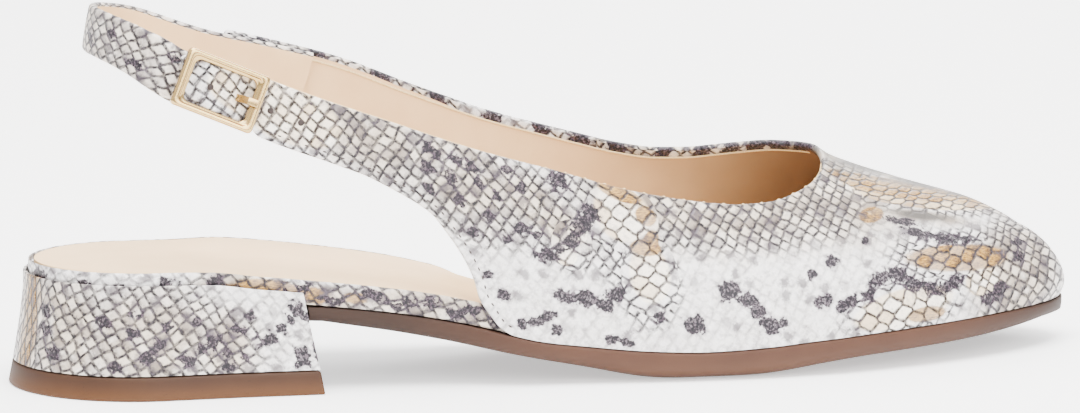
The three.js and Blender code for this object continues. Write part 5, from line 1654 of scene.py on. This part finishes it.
class ShoeSettings(bpy.types.PropertyGroup):
    """Sizes and colours of the shoe's finish."""

    scale_width: length("Scale width", "Width of the small scales printed on the upper", 3.3)
    large_scale_width: length("Large scale width", "Width of the large gold and cream scales", 4.9)
    brick_scale_width: length("Brick scale width", "Width of the long scales along the vamp", 4.6)
    rim_scale_width: length("Rim scale width", "Width of the scales on the covered insole board", 4.2)
    heel_scale_width: length("Heel scale width", "Width of the scales on the heel block", 3.5)
    strap_scale_width: length("Strap scale width", "Width of the scales on the sling strap", 3.7)
    stitch_pitch: length("Stitch pitch", "Distance from one stitch of the topstitch to the next", 2.2)
    stitch_length: length("Stitch length", "Length of each stitch of the topstitch", 1.0)
    stitch_radius: length("Thread radius", "Radius of the topstitch thread", 0.2)
    prong_bevel: length("Prong bevel", "Rounding of the buckle prong's edges", 0.2)
    lining: colour("Lining", "Colour of the lining leather", "#e6c290")
    sock: colour("Sock", "Colour of the insole sock", "#e0c092")
    sole: colour("Sole", "Colour of the outsole", "#4f3324")
    lift: colour("Heel lift", "Colour of the lift under the heel", "#3b2414")
    gold: colour("Buckle", "Colour of the buckle's plating", "#cfb27c")
    thread: colour("Thread", "Colour of the topstitch thread", "#4a3f3d")
    edge: colour("Lining edge", "Colour of the lining's gilt edge", "#e2cda0")


MATERIALS = {}


def make_materials(settings):
    small, large = settings.scale_width / MM, settings.large_scale_width / MM
    brick, rim = settings.brick_scale_width / MM, settings.rim_scale_width / MM
    heel, strap = settings.heel_scale_width / MM, settings.strap_scale_width / MM
    upper_scales = [
        (None, small, small * 1.2, 1.2), ("big", large, large * 1.1, 1.6),
        ("brick", brick, brick * 0.957, 2.2),
    ]
    heel_scales = [(None, heel, heel * 1.114, 1.3), ("tan", heel * 0.8, heel * 1.77, 1.0)]
    MATERIALS["upper"] = snake_leather("Snake-print leather of the upper", upper_scales, turn=-8)
    MATERIALS["rim"] = snake_leather(
        "Snake-print leather of the rim", [(None, rim, rim * 0.952, 1.4)], turn=12)
    MATERIALS["heel"] = snake_leather("Snake-print leather of the heel", heel_scales, turn=-12)
    MATERIALS["strap"] = snake_leather(
        "Snake-print leather of the strap", [(None, strap, strap * 1.081, 1.35)], line_width=0.6)
    MATERIALS["lining"] = plain_leather("Beige lining leather", settings.lining, "#cda272", shade="#4f3120")
    MATERIALS["sock"] = plain_leather("Beige sock leather", settings.sock, "#d1ab79")
    # The outsole gets painted shade towards its waist and its toe
    MATERIALS["rubber"] = sole_rubber(
        "Brown sole rubber", settings.sole, "#3a241a", "#523626", 6.0, middle=138.0, painted_end_shade=0.8)
    MATERIALS["lift"] = sole_rubber("Brown heel lift rubber", settings.lift, "#2e1b10", "#4f311a", 4.6)
    MATERIALS["gold"] = pale_gold("Pale gold plating", settings.gold, "#a98850")
    MATERIALS["thread"] = plain_thread("Grey polyester thread", settings.thread, "#2e2524")
    MATERIALS["edge"] = plain_thread("Gilt raw edge of the lining", settings.edge, "#b98f52")
    # Painted shade: dark discs with this material stand for the shadow inside the strap's holes
    MATERIALS["hole"] = plain_thread("Painted shade in the strap holes", srgb("#3a2c28"), "#120c0b")


def finish(piece, slot_name, node=None):
    """Puts a piece on the body in the place of its node of the frame; slot_name is not used."""
    if not piece.data.polygons:
        raise RuntimeError(piece.name + " has no faces")
    if node:
        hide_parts(node)
    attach(piece, "root")


class SHOE_OT_upper(bpy.types.Operator):
    """Build the closed-toe upper with its lining and folded top edge"""

    bl_idname = "shoe.upper"
    bl_label = "Upper"

    def execute(self, context):
        finish(build_upper([MATERIALS["upper"], MATERIALS["lining"]]), "snake_leather", "upper")
        return {"FINISHED"}


class SHOE_OT_strap(bpy.types.Operator):
    """Build the sling strap"""

    bl_idname = "shoe.strap"
    bl_label = "Sling strap"

    def execute(self, context):
        finish(build_sling([MATERIALS["strap"], MATERIALS["lining"]]), "snake_leather", "sling_strap")
        return {"FINISHED"}


class SHOE_OT_insole(bpy.types.Operator):
    """Build the covered insole board and the sock"""

    bl_idname = "shoe.insole"
    bl_label = "Insole board and sock"

    def execute(self, context):
        finish(build_board([MATERIALS["rim"]]), "snake_leather", "insole_board")
        finish(build_sock([MATERIALS["sock"]]), "lining_leather", "insole_sock")
        return {"FINISHED"}


class SHOE_OT_sole(bpy.types.Operator):
    """Build the outsole"""

    bl_idname = "shoe.sole"
    bl_label = "Outsole"

    def execute(self, context):
        finish(build_outsole([MATERIALS["rubber"]]), "sole_rubber", "outsole")
        return {"FINISHED"}


class SHOE_OT_heel(bpy.types.Operator):
    """Build the covered heel block and the lift under it"""

    bl_idname = "shoe.heel"
    bl_label = "Heel block and lift"

    def execute(self, context):
        finish(build_heel_block([MATERIALS["heel"]]), "snake_leather", "heel_block")
        finish(build_top_piece([MATERIALS["lift"]]), "sole_rubber", "heel_top_piece")
        return {"FINISHED"}


class SHOE_OT_buckle(bpy.types.Operator):
    """Build the buckle frame and its prong"""

    bl_idname = "shoe.buckle"
    bl_label = "Buckle"

    def execute(self, context):
        bevel = context.scene.shoe_settings.prong_bevel
        finish(build_buckle_frame([MATERIALS["gold"]]), "pale_gold", "buckle_frame")
        prong = rounded_copy("buckle_prong", "Buckle_prong_rounded", bevel, MATERIALS["gold"])
        finish(prong, "pale_gold", "buckle_prong")
        return {"FINISHED"}


class SHOE_OT_trims(bpy.types.Operator):
    """Build the stitches, the lining's edge and the strap's holes"""

    bl_idname = "shoe.trims"
    bl_label = "Stitches, edges and holes"

    def execute(self, context):
        for piece in build_trims(context.scene.shoe_settings):
            finish(piece, "lining_leather" if "lining" in piece.name else "snake_leather")
        return {"FINISHED"}


class SHOE_OT_stage(bpy.types.Operator):
    """Set up the floor, the lights and the camera"""

    bl_idname = "shoe.stage"
    bl_label = "Stage"

    def execute(self, context):
        floor_and_lights()
        photo_camera()
        if context.scene.camera is None:
            raise RuntimeError("the scene has no camera")
        return {"FINISHED"}


class SHOE_PT_panel(bpy.types.Panel):
    """Controls of the shoe"""

    bl_idname = "SHOE_PT_panel"
    bl_label = "Slingback shoe"
    bl_space_type = "VIEW_3D"
    bl_region_type = "UI"
    bl_category = "Shoe"

    def draw(self, context):
        settings = context.scene.shoe_settings
        for key in ShoeSettings.__annotations__:
            self.layout.prop(settings, key)
        for step in STEPS:
            self.layout.operator(step.bl_idname)


STEPS = (
    SHOE_OT_upper, SHOE_OT_strap, SHOE_OT_insole, SHOE_OT_sole, SHOE_OT_heel, SHOE_OT_buckle, SHOE_OT_trims,
    SHOE_OT_stage,
)
CLASSES = (ShoeSettings,) + STEPS + (SHOE_PT_panel,)


def register():
    for item in CLASSES:
        bpy.utils.register_class(item)
    bpy.types.Scene.shoe_settings = bpy.props.PointerProperty(type=ShoeSettings)


def unregister():
    del bpy.types.Scene.shoe_settings
    for item in reversed(CLASSES):
        bpy.utils.unregister_class(item)


def main():
    register()
    make_materials(bpy.context.scene.shoe_settings)
    bpy.ops.shoe.upper()
    bpy.ops.shoe.strap()
    bpy.ops.shoe.insole()
    bpy.ops.shoe.sole()
    bpy.ops.shoe.heel()
    bpy.ops.shoe.buckle()
    bpy.ops.shoe.trims()
    bpy.ops.shoe.stage()


if __name__ == "__main__":
    main()
